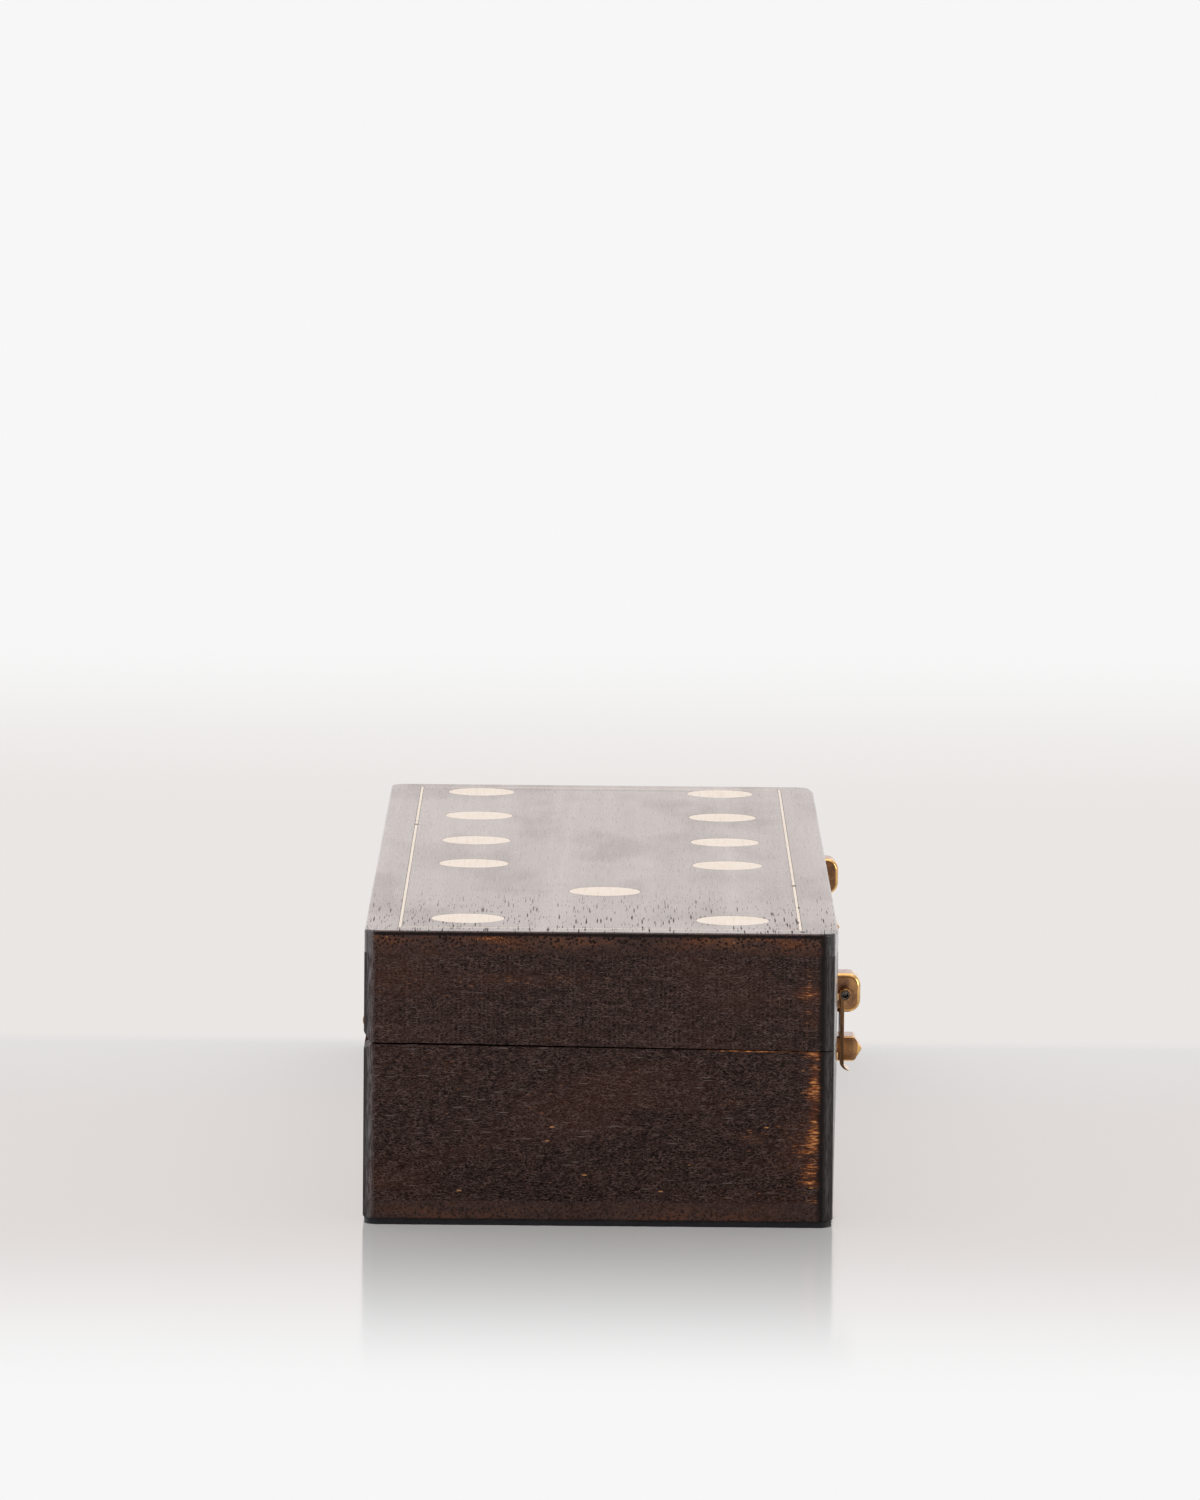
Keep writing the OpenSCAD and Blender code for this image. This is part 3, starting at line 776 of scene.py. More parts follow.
def add_piece(name: str, bm: bmesh.types.BMesh, material: bpy.types.Material, body: str,
              replaced: Iterable[str] = (), crease: float = 32.0) -> bpy.types.Object:
    """Turns a shaped mesh into a piece of the object.

    Args:
        name: The piece's name.
        bm: Its mesh, which is freed.
        material: Its finish.
        body: The body it rides on.
        replaced: The CAD nodes it stands for.
        crease: Edges sharper than this stay sharp, in degrees.

    Returns:
        The new object.
    """
    mesh = bpy.data.meshes.new(name)
    bm.to_mesh(mesh)
    bm.free()
    mesh.shade_smooth()
    mesh.set_sharp_from_angle(angle=math.radians(crease))
    piece = bpy.data.objects.new(name, mesh)
    bpy.context.scene.collection.objects.link(piece)
    mesh.materials.append(material)
    weighted = piece.modifiers.new("even_shading", "WEIGHTED_NORMAL")
    weighted.keep_sharp = True
    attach(piece, body)
    nodes = list(replaced)
    if nodes:
        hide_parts(*nodes)
    LOG.info("%s: %d faces on %s", name, len(mesh.polygons), body)
    return piece


@dataclass
class Box:
    """The outer sizes that the boards share, read from the frame.

    Attributes:
        corner_r: Radius of the upright corners.
        flat_from: Angle of the front corners' arc, in degrees, past which they are sanded almost flat.
        flat_len: How far behind the end face that flat runs out, at the seam and above.
        proud: How far the end boards and the top stand out over the front walls, at the seam and above.
        high: The lid top's highest corner, half the wooden box's length and width from the middle.
        z_floor: Top face of the bottom panel.
        z_seam: Height of the hinges' axis, where the lid meets the base.
        x_joint: Where the walls end against the end boards.
    """

    corner_r: float = 2.5 * MM
    flat_from: float = 74.0
    flat_len: float = 6.8 * MM
    proud: float = 0.45 * MM
    high: Vector = field(init=False)
    z_floor: float = field(init=False)
    z_seam: float = field(init=False)
    x_joint: float = field(init=False)

    def __post_init__(self) -> None:
        """Reads the sizes."""
        self.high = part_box("lid_top")[1]
        self.z_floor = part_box("base_bottom")[1].z
        self.x_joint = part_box("base_front_wall")[1].x
        joint = next(j for j in frame["joints"] if j["child"] == "lid")
        self.z_seam = joint["pos_m"][2]

    def front_corner(self, place: Vector) -> float:
        """Surface of the rounded corners beside the clasps, which are sanded thin above the foot.

        Args:
            place: A point beside the corner.

        Returns:
            How far behind the end face the surface lies there.
        """
        share = min(1.0, (-place.y - self.high.y + self.corner_r) / self.corner_r)
        start = math.sin(math.radians(self.flat_from))
        if share <= start + TOUCH:
            return self.corner_r * (1 - math.sqrt(1 - share ** 2))
        round_x = self.corner_r * (1 - math.sqrt(1 - share ** 2))
        start_x = self.corner_r * (1 - math.cos(math.radians(self.flat_from)))
        flat_x = start_x + (self.flat_len - start_x) * (share - start) / (1 - start)
        return round_x + (flat_x - round_x) * min(1.0, place.z / self.z_seam)

    def ease_front_corners(self, bm: bmesh.types.BMesh) -> None:
        """Sands the two rounded corners beside the clasps.

        Args:
            bm: A board's mesh.
        """
        for v in bm.verts:
            behind = self.high.x - abs(v.co.x)
            if behind < self.corner_r + TOUCH and v.co.y < -(self.high.y - self.corner_r) - TOUCH:
                if self.on_round(v.co):
                    v.co.x = math.copysign(self.high.x - self.front_corner(v.co), v.co.x)

    def stand_proud(self, bm: bmesh.types.BMesh, panel: bool) -> None:
        """Lets a board stand a little out over the front walls.

        Args:
            bm: The board's mesh, its arrises already rounded.
            panel: Whether it runs the whole length of the box, rather than ending at a joint.
        """
        start = self.corner_r * (1 - math.cos(math.radians(self.flat_from)))
        full = self.flat_len - start
        joint_run = self.high.x - self.flat_len - self.x_joint
        for v in bm.verts:
            if v.co.y < -self.high.y + self.proud:
                share = min(1.0, max(0.0, (self.high.x - abs(v.co.x) - start) / full))
                if not panel:
                    share *= min(1.0, (abs(v.co.x) - self.x_joint) / joint_run)
                v.co.y -= self.proud * share * min(1.0, v.co.z / self.z_seam)

    def on_round(self, place: Vector) -> bool:
        """True on the untouched arc of a corner."""
        into_x = abs(place.x) - (self.high.x - self.corner_r)
        into_y = abs(place.y) - (self.high.y - self.corner_r)
        return abs(math.hypot(into_x, into_y) - self.corner_r) < TOUCH

    def on_outline(self, place: Vector) -> bool:
        """Tells whether a point lies on the box's upright outer faces.

        Args:
            place: The point.

        Returns:
            True on the flat sides and on the rounded corners.
        """
        if abs(abs(place.x) - self.high.x) < TOUCH or abs(abs(place.y) - self.high.y) < TOUCH:
            return True
        if place.y < -(self.high.y - self.corner_r) - TOUCH:
            return abs(self.high.x - abs(place.x) - self.front_corner(place)) < TOUCH
        return abs(place.y) > self.high.y - self.corner_r + TOUCH and self.on_round(place)


def level(edge: bmesh.types.BMEdge, height: float) -> bool:
    """True if both ends of an edge lie at that height."""
    return all(abs(v.co.z - height) < TOUCH for v in edge.verts)


def upright(edge: bmesh.types.BMEdge) -> bool:
    """True if an edge stands upright."""
    first, second = (v.co for v in edge.verts)
    return (first.xy - second.xy).length < TOUCH


@dataclass
class Boards:
    """The ten boards of the base and the lid, with their arrises sanded.

    Attributes:
        box: The shared sizes.
        top_arris: Rounding of the lid's top edge.
        rim_arris: Rounding of the edges at the seam.
        foot_arris: Rounding under the bottom panel.
        joint_arris: Depth of the hairline between two boards.
        rim_band: How far above and below the seam's middle its rims may lie.
    """

    box: Box
    top_arris: float = 0.42 * MM
    rim_arris: float = 0.16 * MM
    foot_arris: float = 0.25 * MM
    joint_arris: float = 0.035 * MM
    rim_band: float = 1.7 * MM

    def wear_of_left_end(self) -> tuple[WearSpot, ...]:
        """Rubbed places on the base's left end, beside the clasps."""
        face = -self.box.high.x / MM
        on_end = WearSpot.on_end
        return (
            on_end(face, -32.4, 26.6, 3.2, 1.3, 1.0),
            on_end(face, -32.6, 23.8, 1.9, 3.6, 0.62),
            on_end(face, -32.5, 20.6, 2.2, 3.2, 0.92),
            on_end(face, -32.7, 16.6, 1.6, 3.6, 0.55),
            on_end(face, -32.6, 13.4, 1.9, 2.6, 0.86),
            on_end(face, -31.8, 11.6, 3.6, 0.8, 0.45),
            on_end(face, -32.4, 8.4, 2.6, 2.8, 0.55),
            on_end(face, -32.2, 6.8, 3.6, 0.8, 0.5),
            on_end(face, -32.7, 3.4, 2.6, 2.6, 0.42),
            on_end(face, -30.5, 13.0, 6.5, 11.0, 0.3),
            on_end(face, -23.0, 13.8, 4.0, 1.8, 0.34),
            on_end(face, -20.0, 19.0, 5.0, 2.2, 0.2),
            on_end(face, -25.0, 27.0, 13.0, 0.42, 1.4),
            on_end(face, -22.0, 4.6, 12.0, 2.6, 0.2),
            on_end(face, 24.0, 24.0, 13.0, 4.0, 0.16),
        )

    def wear_of_left_lid_end(self) -> tuple[WearSpot, ...]:
        """Rubbed places on the lid's left end."""
        face = -self.box.high.x / MM
        on_end = WearSpot.on_end
        return (
            on_end(face, -31.6, 35.6, 4.4, 2.0, 0.62),
            on_end(face, -31.8, 38.4, 3.0, 2.6, 0.3),
            on_end(face, -31.8, 31.8, 3.2, 4.0, 0.34),
            on_end(face, -26.0, 34.2, 5.0, 1.4, 0.24),
            on_end(face, 8.0, 37.6, 26.0, 1.8, 0.22),
            on_end(face, 20.0, 36.0, 18.0, 5.0, 0.14),
            on_end(face, 31.0, 37.0, 8.0, 6.0, 0.2),
        )

    def wear_of_top(self) -> tuple[WearSpot, ...]:
        """Rubbed places along the top panel's two ends."""
        end = self.box.high.x / MM
        top = self.box.high.z / MM
        return (
            WearSpot((-end, 14.0, top - 1.5), (1.2, 9.0, 1.3), 0.5),
            WearSpot((-end, 17.0, top - 1.0), (1.2, 5.0, 0.6), 0.5),
            WearSpot((-end, -29.0, top - 1.4), (1.2, 5.5, 1.5), 0.5),
            WearSpot((-end, -12.0, top - 1.6), (1.2, 9.0, 1.5), 0.3),
            WearSpot((end, 10.0, top - 1.4), (1.2, 12.0, 1.3), 0.42),
            WearSpot((end, -26.0, top - 1.5), (1.2, 6.0, 1.5), 0.45),
        )

    def dents_of_top(self) -> tuple[WearSpot, ...]:
        """Small dark marks in the top panel and its inlay, near the clasps."""
        top = self.box.high.z / MM
        return (
            WearSpot((-95.2, -30.5, top), (1.8, 0.65, 1.0), 1.0),
            WearSpot((-84.0, -29.95, top), (2.6, 0.3, 1.0), 1.0),
            WearSpot((-66.0, -30.45, top), (2.2, 0.26, 1.0), 1.0),
            WearSpot((-38.8, -30.2, top), (1.3, 0.7, 1.0), 0.9),
            WearSpot((38.8, 30.2, top), (1.3, 0.7, 1.0), 0.9),
        )

    def wear_elsewhere(self) -> tuple[WearSpot, ...]:
        """Light rubbing at the corners that the hands reach, on the sides that face away."""
        end = self.box.high.x / MM
        side = self.box.high.y / MM
        return (
            WearSpot.on_end(end, -31.0, 15.0, 2.0, 9.0, 0.5),
            WearSpot.on_end(end, 31.0, 20.0, 1.8, 6.0, 0.4),
            WearSpot((end - 20, -side, 22.0), (16.0, 2.0, 1.2), 0.45),
            WearSpot((-end + 30, -side, 12.0), (12.0, 2.0, 2.0), 0.35),
            WearSpot((end - 6, side, 12.0), (3.0, 2.0, 8.0), 0.45),
            WearSpot((0.0, -side, 26.5), (26.0, 2.0, 0.6), 0.55),
        )

    def finishes(self) -> dict[str, StainedWood]:
        """The finish of each board."""
        across, along = Grain.ACROSS_BOX, Grain.ALONG_BOX
        worn = self.wear_elsewhere()
        return {
            "base_left_end": StainedWood("wood_base_left_end", across, 1.0, self.wear_of_left_end()),
            "base_right_end": StainedWood("wood_base_right_end", across, 2.0, worn),
            "base_front_wall": StainedWood("wood_base_front", along, 3.0, worn, pore_len=8.0),
            "base_back_wall": StainedWood("wood_base_back", along, 4.0, worn, pore_len=8.0),
            "base_bottom": StainedWood("wood_base_bottom", along, 5.0, light=tint(70, 53, 50), pore_len=8.0,
                                       sawn_from=4.6, sawn_to=1.2, sawn_share=0.45),
            "lid_left_end": StainedWood("wood_lid_left_end", across, 6.0, self.wear_of_left_lid_end()),
            "lid_right_end": StainedWood("wood_lid_right_end", across, 7.0, worn),
            "lid_front_wall": StainedWood("wood_lid_front", along, 8.0, worn, pore_len=8.0),
            "lid_back_wall": StainedWood("wood_lid_back", along, 9.0, worn, pore_len=8.0),
            "lid_top": StainedWood("wood_lid_top", along, 10.0, self.wear_of_top(), self.dents_of_top(),
                                   pore=tint(16, 10, 10), crest_len=14.0, pore_len=13.0, pore_gap=0.46,
                                   pore_from=1.15, pore_wide=0.3, pore_fade=0.12, shine=0.3, wax=1.0,
                                   figure_len=150.0, streak_len=60.0, sawn_from=41.0, sawn_to=43.6),
        }

    def is_outer(self, edge: bmesh.types.BMEdge) -> bool:
        """True if an edge lies on the box's upright outer faces."""
        return all(self.box.on_outline(v.co) for v in edge.verts)

    def is_top(self, edge: bmesh.types.BMEdge) -> bool:
        """True if an edge runs round the lid's top face."""
        return self.is_outer(edge) and level(edge, self.box.high.z)

    def is_foot(self, edge: bmesh.types.BMEdge) -> bool:
        """True if an edge runs round the bottom panel's underside."""
        return edge.verts[0].co.z < self.box.z_floor - TOUCH and not upright(edge) and self.is_outer(edge)

    def meets_end(self, corner: bmesh.types.BMVert) -> bool:
        """True if a board's corner lies where the walls meet the end boards."""
        return abs(abs(corner.co.x) - self.box.x_joint) < TOUCH

    def is_rim(self, edge: bmesh.types.BMEdge) -> bool:
        """True if an edge borders the seam, apart from those between two boards."""
        near = all(abs(v.co.z - self.box.z_seam) < self.rim_band for v in edge.verts)
        return near and not upright(edge) and not all(self.meets_end(v) for v in edge.verts)

    def is_joint(self, edge: bmesh.types.BMEdge) -> bool:
        """True if an edge stands where two boards meet on the outside."""
        return upright(edge) and self.is_outer(edge) and self.meets_end(edge.verts[0])

    def shape(self, node: str) -> bmesh.types.BMesh:
        """Copies one board and sands its arrises.

        Args:
            node: The board's node.

        Returns:
            The shaped mesh.
        """
        bm = merged_copy(node)
        self.box.ease_front_corners(bm)
        if node == "lid_top":
            round_edges(bm, self.top_arris, 4, self.is_top)
        elif node == "base_bottom":
            round_edges(bm, self.foot_arris, 3, self.is_foot)
        else:
            round_edges(bm, self.rim_arris, 3, self.is_rim)
            round_edges(bm, self.joint_arris, 1, self.is_joint)
        panel = node in ("lid_top", "base_bottom")
        if panel or node.endswith("_end"):
            self.box.stand_proud(bm, panel)
        return bm

    def build(self) -> None:
        """Makes all the boards."""
        for node, finish in self.finishes().items():
            body = "lid" if node.startswith("lid") else "base"
            add_piece(f"{node}_board", self.shape(node), finish.make(), body, [node])


@dataclass
class Inlay:
    """Pips and border strips, flush in the top panel.

    Attributes:
        marks: The dents that run from the panel into them.
        arris: Rounding of their top edges.
    """

    marks: tuple[WearSpot, ...]
    arris: float = 0.05 * MM

    def build(self) -> None:
        """Makes the pips and the border."""
        material = PaleInlay(marks=self.marks).make()
        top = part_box("lid_top")[1].z
        for node in ("lid_pips_five", "lid_pips_six", "lid_border_inlay"):
            bm = merged_copy(node)
            round_edges(bm, self.arris, 2, lambda edge: level(edge, top))
            add_piece(f"{node}_wood", bm, material, "lid", [node])


@dataclass
class Hinge:
    """One butt hinge: two leaves and a pin.

    Attributes:
        side: left or right.
        arris: Rounding of the leaves' edges.
        pin_arris: Rounding of the pin's ends.
    """

    side: str
    arris: float = 0.07 * MM
    pin_arris: float = 0.12 * MM

    def build(self, brass: bpy.types.Material, steel: bpy.types.Material) -> None:
        """Makes the hinge.

        Args:
            brass: The leaves' finish.
            steel: The pin's finish.
        """
        for body in ("base", "lid"):
            node = f"{self.side}_hinge_{body}_leaf"
            bm = merged_copy(node)
            round_edges(bm, self.arris, 2)
            add_piece(f"{node}_brass", bm, brass, body, [node])
        node = f"{self.side}_hinge_pin"
        bm = merged_copy(node)
        round_edges(bm, self.pin_arris, 3)
        add_piece(f"{node}_wire", bm, steel, "base", [node])


@dataclass
class SmallFixings:
    """The screws of the hinges and the nails of the clasps, with rounded heads.

    Attributes:
        brass: Their finish.
        head_arris: Rounding of their heads.
    """

    brass: bpy.types.Material
    head_arris: float = 0.06 * MM

    def build(self) -> None:
        """Makes the four groups."""
        groups = {"base_hinge_screws": "base", "lid_hinge_screws": "lid",
                  "lid_clasp_nails": "lid", "catch_plate_nails": "base"}
        for node, body in groups.items():
            bm = merged_copy(node)
            round_edges(bm, self.head_arris, 2)
            add_piece(f"{node}_brass", bm, self.brass, body, [node])


@dataclass
class Clasp:
    """One swing clasp: plate with boss, rolled pin, hasp, and catch plate with nose.

    Attributes:
        side: left or right.
        boss_w: Width of the boss and of the nose.
        boss_round: Rounding round the boss's two sides.
        nose_round: Rounding round the nose's two sides.
        nose_flat: How far from the point the nose's sides start to taper.
        nose_thin: Width of the nose at its point as a share of its full width.
        curl_thin: Thickness of the hasp at the tip of its curl as a share of its full thickness.
        curl_narrow: Width of the hasp there as a share of its full width.
        curl_drop: Height of the curl.
        curl_r: Radius of the curl's middle line.
        arris: Rounding of the sheet's cut edges.
        bore_reach: How far from the pin's axis an edge still belongs to its bore.
        pin_wall: Thickness of the rolled pin.
        pin_hollow: Depth of the hollow at its ends.
        pin_arris: Rounding of its ends.
    """

    side: str
    boss_w: float = 5.6 * MM
    boss_round: float = 1.0 * MM
    nose_round: float = 0.6 * MM
    nose_flat: float = 1.15 * MM
    nose_thin: float = 0.82
    curl_thin: float = 0.35
    curl_narrow: float = 0.2
    curl_drop: float = 1.95 * MM
    curl_r: float = 2.0 * MM
    arris: float = 0.07 * MM
    bore_reach: float = 0.9 * MM
    pin_wall: float = 0.14 * MM
    pin_hollow: float = 1.8 * MM
    pin_arris: float = 0.03 * MM

    def middle(self) -> float:
        """Place of the clasp along the box."""
        low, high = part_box(f"{self.side}_hasp")
        return (low.x + high.x) / 2

    def pin_axis(self) -> Vector:
        """Middle of the clasp's pin."""
        low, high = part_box(f"{self.side}_clasp_pin")
        return (low + high) / 2

    def on_side(self, edge: bmesh.types.BMEdge, skin: float) -> bool:
        """Tells whether an edge borders a side face of the boss or the nose.

        Args:
            edge: The edge.
            skin: The outer face of the plate, along Y.

        Returns:
            True if it lies in one of the two sides, off the plate and off the pin's bore.
        """
        pin = self.pin_axis()
        for v in edge.verts:
            if abs(abs(v.co.x - self.middle()) - self.boss_w / 2) > TOUCH or v.co.y > skin + TOUCH:
                return False
            if (v.co.yz - pin.yz).length < self.bore_reach:
                return False
        return not all(v.co.y > skin - TOUCH for v in edge.verts)

    def skin(self, bm: bmesh.types.BMesh) -> float:
        """Outer face of a plate along Y, read where the plate is widest."""
        reach = max(v.co.x for v in bm.verts)
        return min(v.co.y for v in bm.verts if v.co.x > reach - TOUCH)

    def add_sheet(self, node: str, bm: bmesh.types.BMesh, brass: bpy.types.Material, body: str,
                  sharper_than: float = 55.0) -> None:
        """Eases the cut edges of a sheet part and makes it a piece.

        Args:
            node: The node that it stands for.
            bm: Its mesh.
            brass: Its finish.
            body: The body it rides on.
            sharper_than: The least angle of a cut edge, in degrees.
        """
        round_edges(bm, self.arris, 2, sharper_than=sharper_than)
        add_piece(f"{node}_brass", bm, brass, body, [node], crease=40.0)

    def boss_plate(self, brass: bpy.types.Material) -> None:
        """Makes the lid's plate, whose boss is pressed to a soft edge.

        Args:
            brass: Its finish.
        """
        node = f"{self.side}_clasp_plate"
        bm = merged_copy(node)
        skin = self.skin(bm)
        round_edges(bm, self.boss_round, 6, lambda edge: self.on_side(edge, skin))
        self.add_sheet(node, bm, brass, "lid")

    def catch_plate(self, brass: bpy.types.Material) -> None:
        """Makes the base's plate, whose nose thins towards its point.

        Args:
            brass: Its finish.
        """
        node = f"{self.side}_catch_plate"
        bm = merged_copy(node)
        skin = self.skin(bm)
        cut = min(v.co.y for v in bm.verts) + self.nose_flat
        bmesh.ops.bisect_plane(bm, geom=bm.verts[:] + bm.edges[:] + bm.faces[:], plane_co=(0, cut, 0),
                               plane_no=(0, 1, 0))
        for v in bm.verts:
            if v.co.y < cut - TOUCH:
                share = (cut - v.co.y) / self.nose_flat
                width = 1 - (1 - self.nose_thin) * share
                v.co.x = self.middle() + (v.co.x - self.middle()) * width

        def is_nose(edge: bmesh.types.BMEdge) -> bool:
            """True if an edge lies beside the nose or at its point."""
            return self.on_side(edge, skin) or all(v.co.y < cut + TOUCH for v in edge.verts)

        round_edges(bm, self.nose_round, 4, is_nose, sharper_than=12.0)
        self.add_sheet(node, bm, brass, "base")

    def rolled_pin(self, steel: bpy.types.Material) -> None:
        """Makes the pin, rolled from sheet, so that its ends are hollow.

        Args:
            steel: Its finish.
        """
        node = f"{self.side}_clasp_pin"
        low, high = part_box(node)
        bm = bmesh.new()
        radius = (high.z - low.z) / 2
        turn = Matrix.Translation(self.pin_axis()) @ Matrix.Rotation(math.pi / 2, 4, "Y")
        bmesh.ops.create_cone(bm, cap_ends=True, segments=32, radius1=radius, radius2=radius,
                              depth=high.x - low.x, matrix=turn)
        caps = [f for f in bm.faces if len(f.verts) > 4]
        for cap in caps:
            bmesh.ops.inset_region(bm, faces=[cap], thickness=self.pin_wall)
            way = math.copysign(1.0, cap.normal.x)
            moved = bmesh.ops.extrude_face_region(bm, geom=[cap])["geom"]
            verts = [v for v in moved if isinstance(v, bmesh.types.BMVert)]
            bmesh.ops.translate(bm, vec=(-way * self.pin_hollow, 0, 0), verts=verts)
            bmesh.ops.delete(bm, geom=[cap], context="FACES_ONLY")
        bmesh.ops.recalc_face_normals(bm, faces=bm.faces)
        round_edges(bm, self.pin_arris, 1)
        add_piece(f"{node}_wire", bm, steel, "lid", [node])

    def hasp(self, brass: bpy.types.Material) -> None:
        """Makes the hasp, whose curl thins towards its tip.

        Args:
            brass: Its finish.
        """
        node = f"{self.side}_hasp"
        bm = merged_copy(node)
        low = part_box(node)[0]
        start = low.z + self.curl_drop
        strip = [v.co.y for v in bm.verts if start < v.co.z < start + self.curl_drop]
        middle = (min(strip) + max(strip)) / 2
        centre = Vector((middle - self.curl_r, start))
        for v in bm.verts:
            if v.co.z < start - TOUCH:
                spoke = v.co.yz - centre
                share = (start - v.co.z) / self.curl_drop
                thin = 1 - (1 - self.curl_thin) * share
                v.co.yz = centre + spoke.normalized() * (self.curl_r + (spoke.length - self.curl_r) * thin)
                narrow = 1 - (1 - self.curl_narrow) * share ** 0.7
                v.co.x = self.middle() + (v.co.x - self.middle()) * narrow
        self.add_sheet(node, bm, brass, node, sharper_than=50.0)

    def build(self, brass: bpy.types.Material, dull: bpy.types.Material, steel: bpy.types.Material) -> None:
        """Makes the clasp.

        Args:
            brass: The finish of the pressed plates.
            dull: The hasp's finish.
            steel: The pin's finish.
        """
        self.boss_plate(brass)
        self.catch_plate(brass)
        self.rolled_pin(steel)
        self.hasp(dull)


@dataclass
class FeltSheet:
    """The felt glued under the bottom panel, with loose fibres along its edge.

    Attributes:
        fibres: Number of loose fibres.
        longest: Length of the longest ordinary fibre.
        thickness: Radius of a fibre at its root.
        bends: Straight lengths in a fibre.
        whiskers: Number of longer fibres at the corner beside the clasp.
        cuts: Points along each side of the sheet's outline.
        short: Edges shorter than this get no such points.
        inwards: How far the outline wanders in, in millimetres.
        outwards: How far it wanders out, in millimetres.
        seed: Start of the random draws.
    """

    fibres: int = 420
    longest: float = 0.9 * MM
    thickness: float = 0.022 * MM
    bends: int = 4
    whiskers: int = 9
    cuts: int = 60
    short: float = 5 * MM
    inwards: float = 0.12
    outwards: float = 0.06
    seed: int = 28

    def edge_point(self, share: float) -> tuple[Vector, Vector]:
        """Point on the sheet's outline and its outward direction.

        Args:
            share: How far round the outline, 0 to 1.

        Returns:
            The point, at height 0, and the direction.
        """
        low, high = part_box("base_felt")
        length, width = high.x - low.x, high.y - low.y
        run = share * 2 * (length + width)
        if run < length:
            return Vector((low.x + run, low.y, 0)), Vector((0, -1, 0))
        run -= length
        if run < width:
            return Vector((high.x, low.y + run, 0)), Vector((1, 0, 0))
        run -= width
        if run < length:
            return Vector((high.x - run, high.y, 0)), Vector((0, 1, 0))
        run -= length
        return Vector((low.x, high.y - run, 0)), Vector((-1, 0, 0))

    def add_fibre(self, bm: bmesh.types.BMesh, root: Vector, way: Vector, length: float,
                  bend: Vector) -> None:
        """Adds one bent fibre.

        Args:
            bm: The mesh that takes it.
            root: Where it leaves the sheet.
            way: Its direction there.
            length: Its length.
            bend: What it bends towards over its length.
        """
        direction = way.normalized()
        turn = direction.to_track_quat("Z", "Y").to_matrix().to_4x4()
        ring = bmesh.ops.create_circle(bm, cap_ends=True, segments=3, radius=self.thickness,
                                       matrix=Matrix.Translation(root) @ turn)["verts"]
        face = ring[0].link_faces[0]
        place = root
        for step in range(1, self.bends + 1):
            moved = bmesh.ops.extrude_face_region(bm, geom=[face])["geom"]
            verts = [v for v in moved if isinstance(v, bmesh.types.BMVert)]
            face = next(f for f in moved if isinstance(f, bmesh.types.BMFace))
            direction = (direction + bend / self.bends).normalized()
            place = place + direction * (length / self.bends)
            middle = sum((v.co for v in verts), Vector()) / len(verts)
            lift = max(0.0, self.thickness + 0.02 * MM - place.z)
            place = place + Vector((0, 0, lift))
            bmesh.ops.translate(bm, vec=place - middle, verts=verts)
            thin = 1 - 0.6 * step / self.bends
            for v in verts:
                v.co = place + (v.co - place) * thin ** 0.5

    def build(self) -> None:
        """Makes the sheet and its fibres."""
        material = BlackFelt().make()
        low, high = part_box("base_felt")
        draw = random.Random(self.seed)
        bm = merged_copy("base_felt")
        outline = [e for e in bm.edges if not upright(e)]
        bmesh.ops.subdivide_edges(bm, edges=[e for e in outline if e.calc_length() > self.short],
                                  cuts=self.cuts)
        for v in bm.verts:
            v.co.x += draw.uniform(-self.inwards, self.outwards) * MM * math.copysign(1, v.co.x)
            v.co.y += draw.uniform(-self.inwards, self.outwards) * MM * math.copysign(1, v.co.y)
        sheet = add_piece("felt_sheet", bm, material, "base", ["base_felt"], crease=50.0)
        fringe = bmesh.new()
        for _ in range(self.fibres):
            place, outward = self.edge_point(draw.random())
            root = place + Vector((0, 0, draw.uniform(0.12, 0.8) * MM)) - outward * 0.2 * MM
            side = Vector((-outward.y, outward.x, 0)) * draw.uniform(-1.2, 1.2)
            bend = Vector((draw.uniform(-1, 1), draw.uniform(-1, 1), draw.uniform(-1.0, 0.6)))
            self.add_fibre(fringe, root, outward + side, draw.uniform(0.3, 1.0) ** 2 * self.longest, bend)
        corner = Vector((low.x + 1.2 * MM, low.y + 1.2 * MM, 0.3 * MM))
        for _ in range(self.whiskers):
            out = Vector((-draw.uniform(0.2, 1), -draw.uniform(0.4, 1), draw.uniform(-0.1, 0.7)))
            self.add_fibre(fringe, corner, out, draw.uniform(1.6, 2.9) * MM,
                           Vector((0, 0, draw.uniform(-1.2, 0.8))))
        add_piece("felt_fibres", fringe, material, "base")


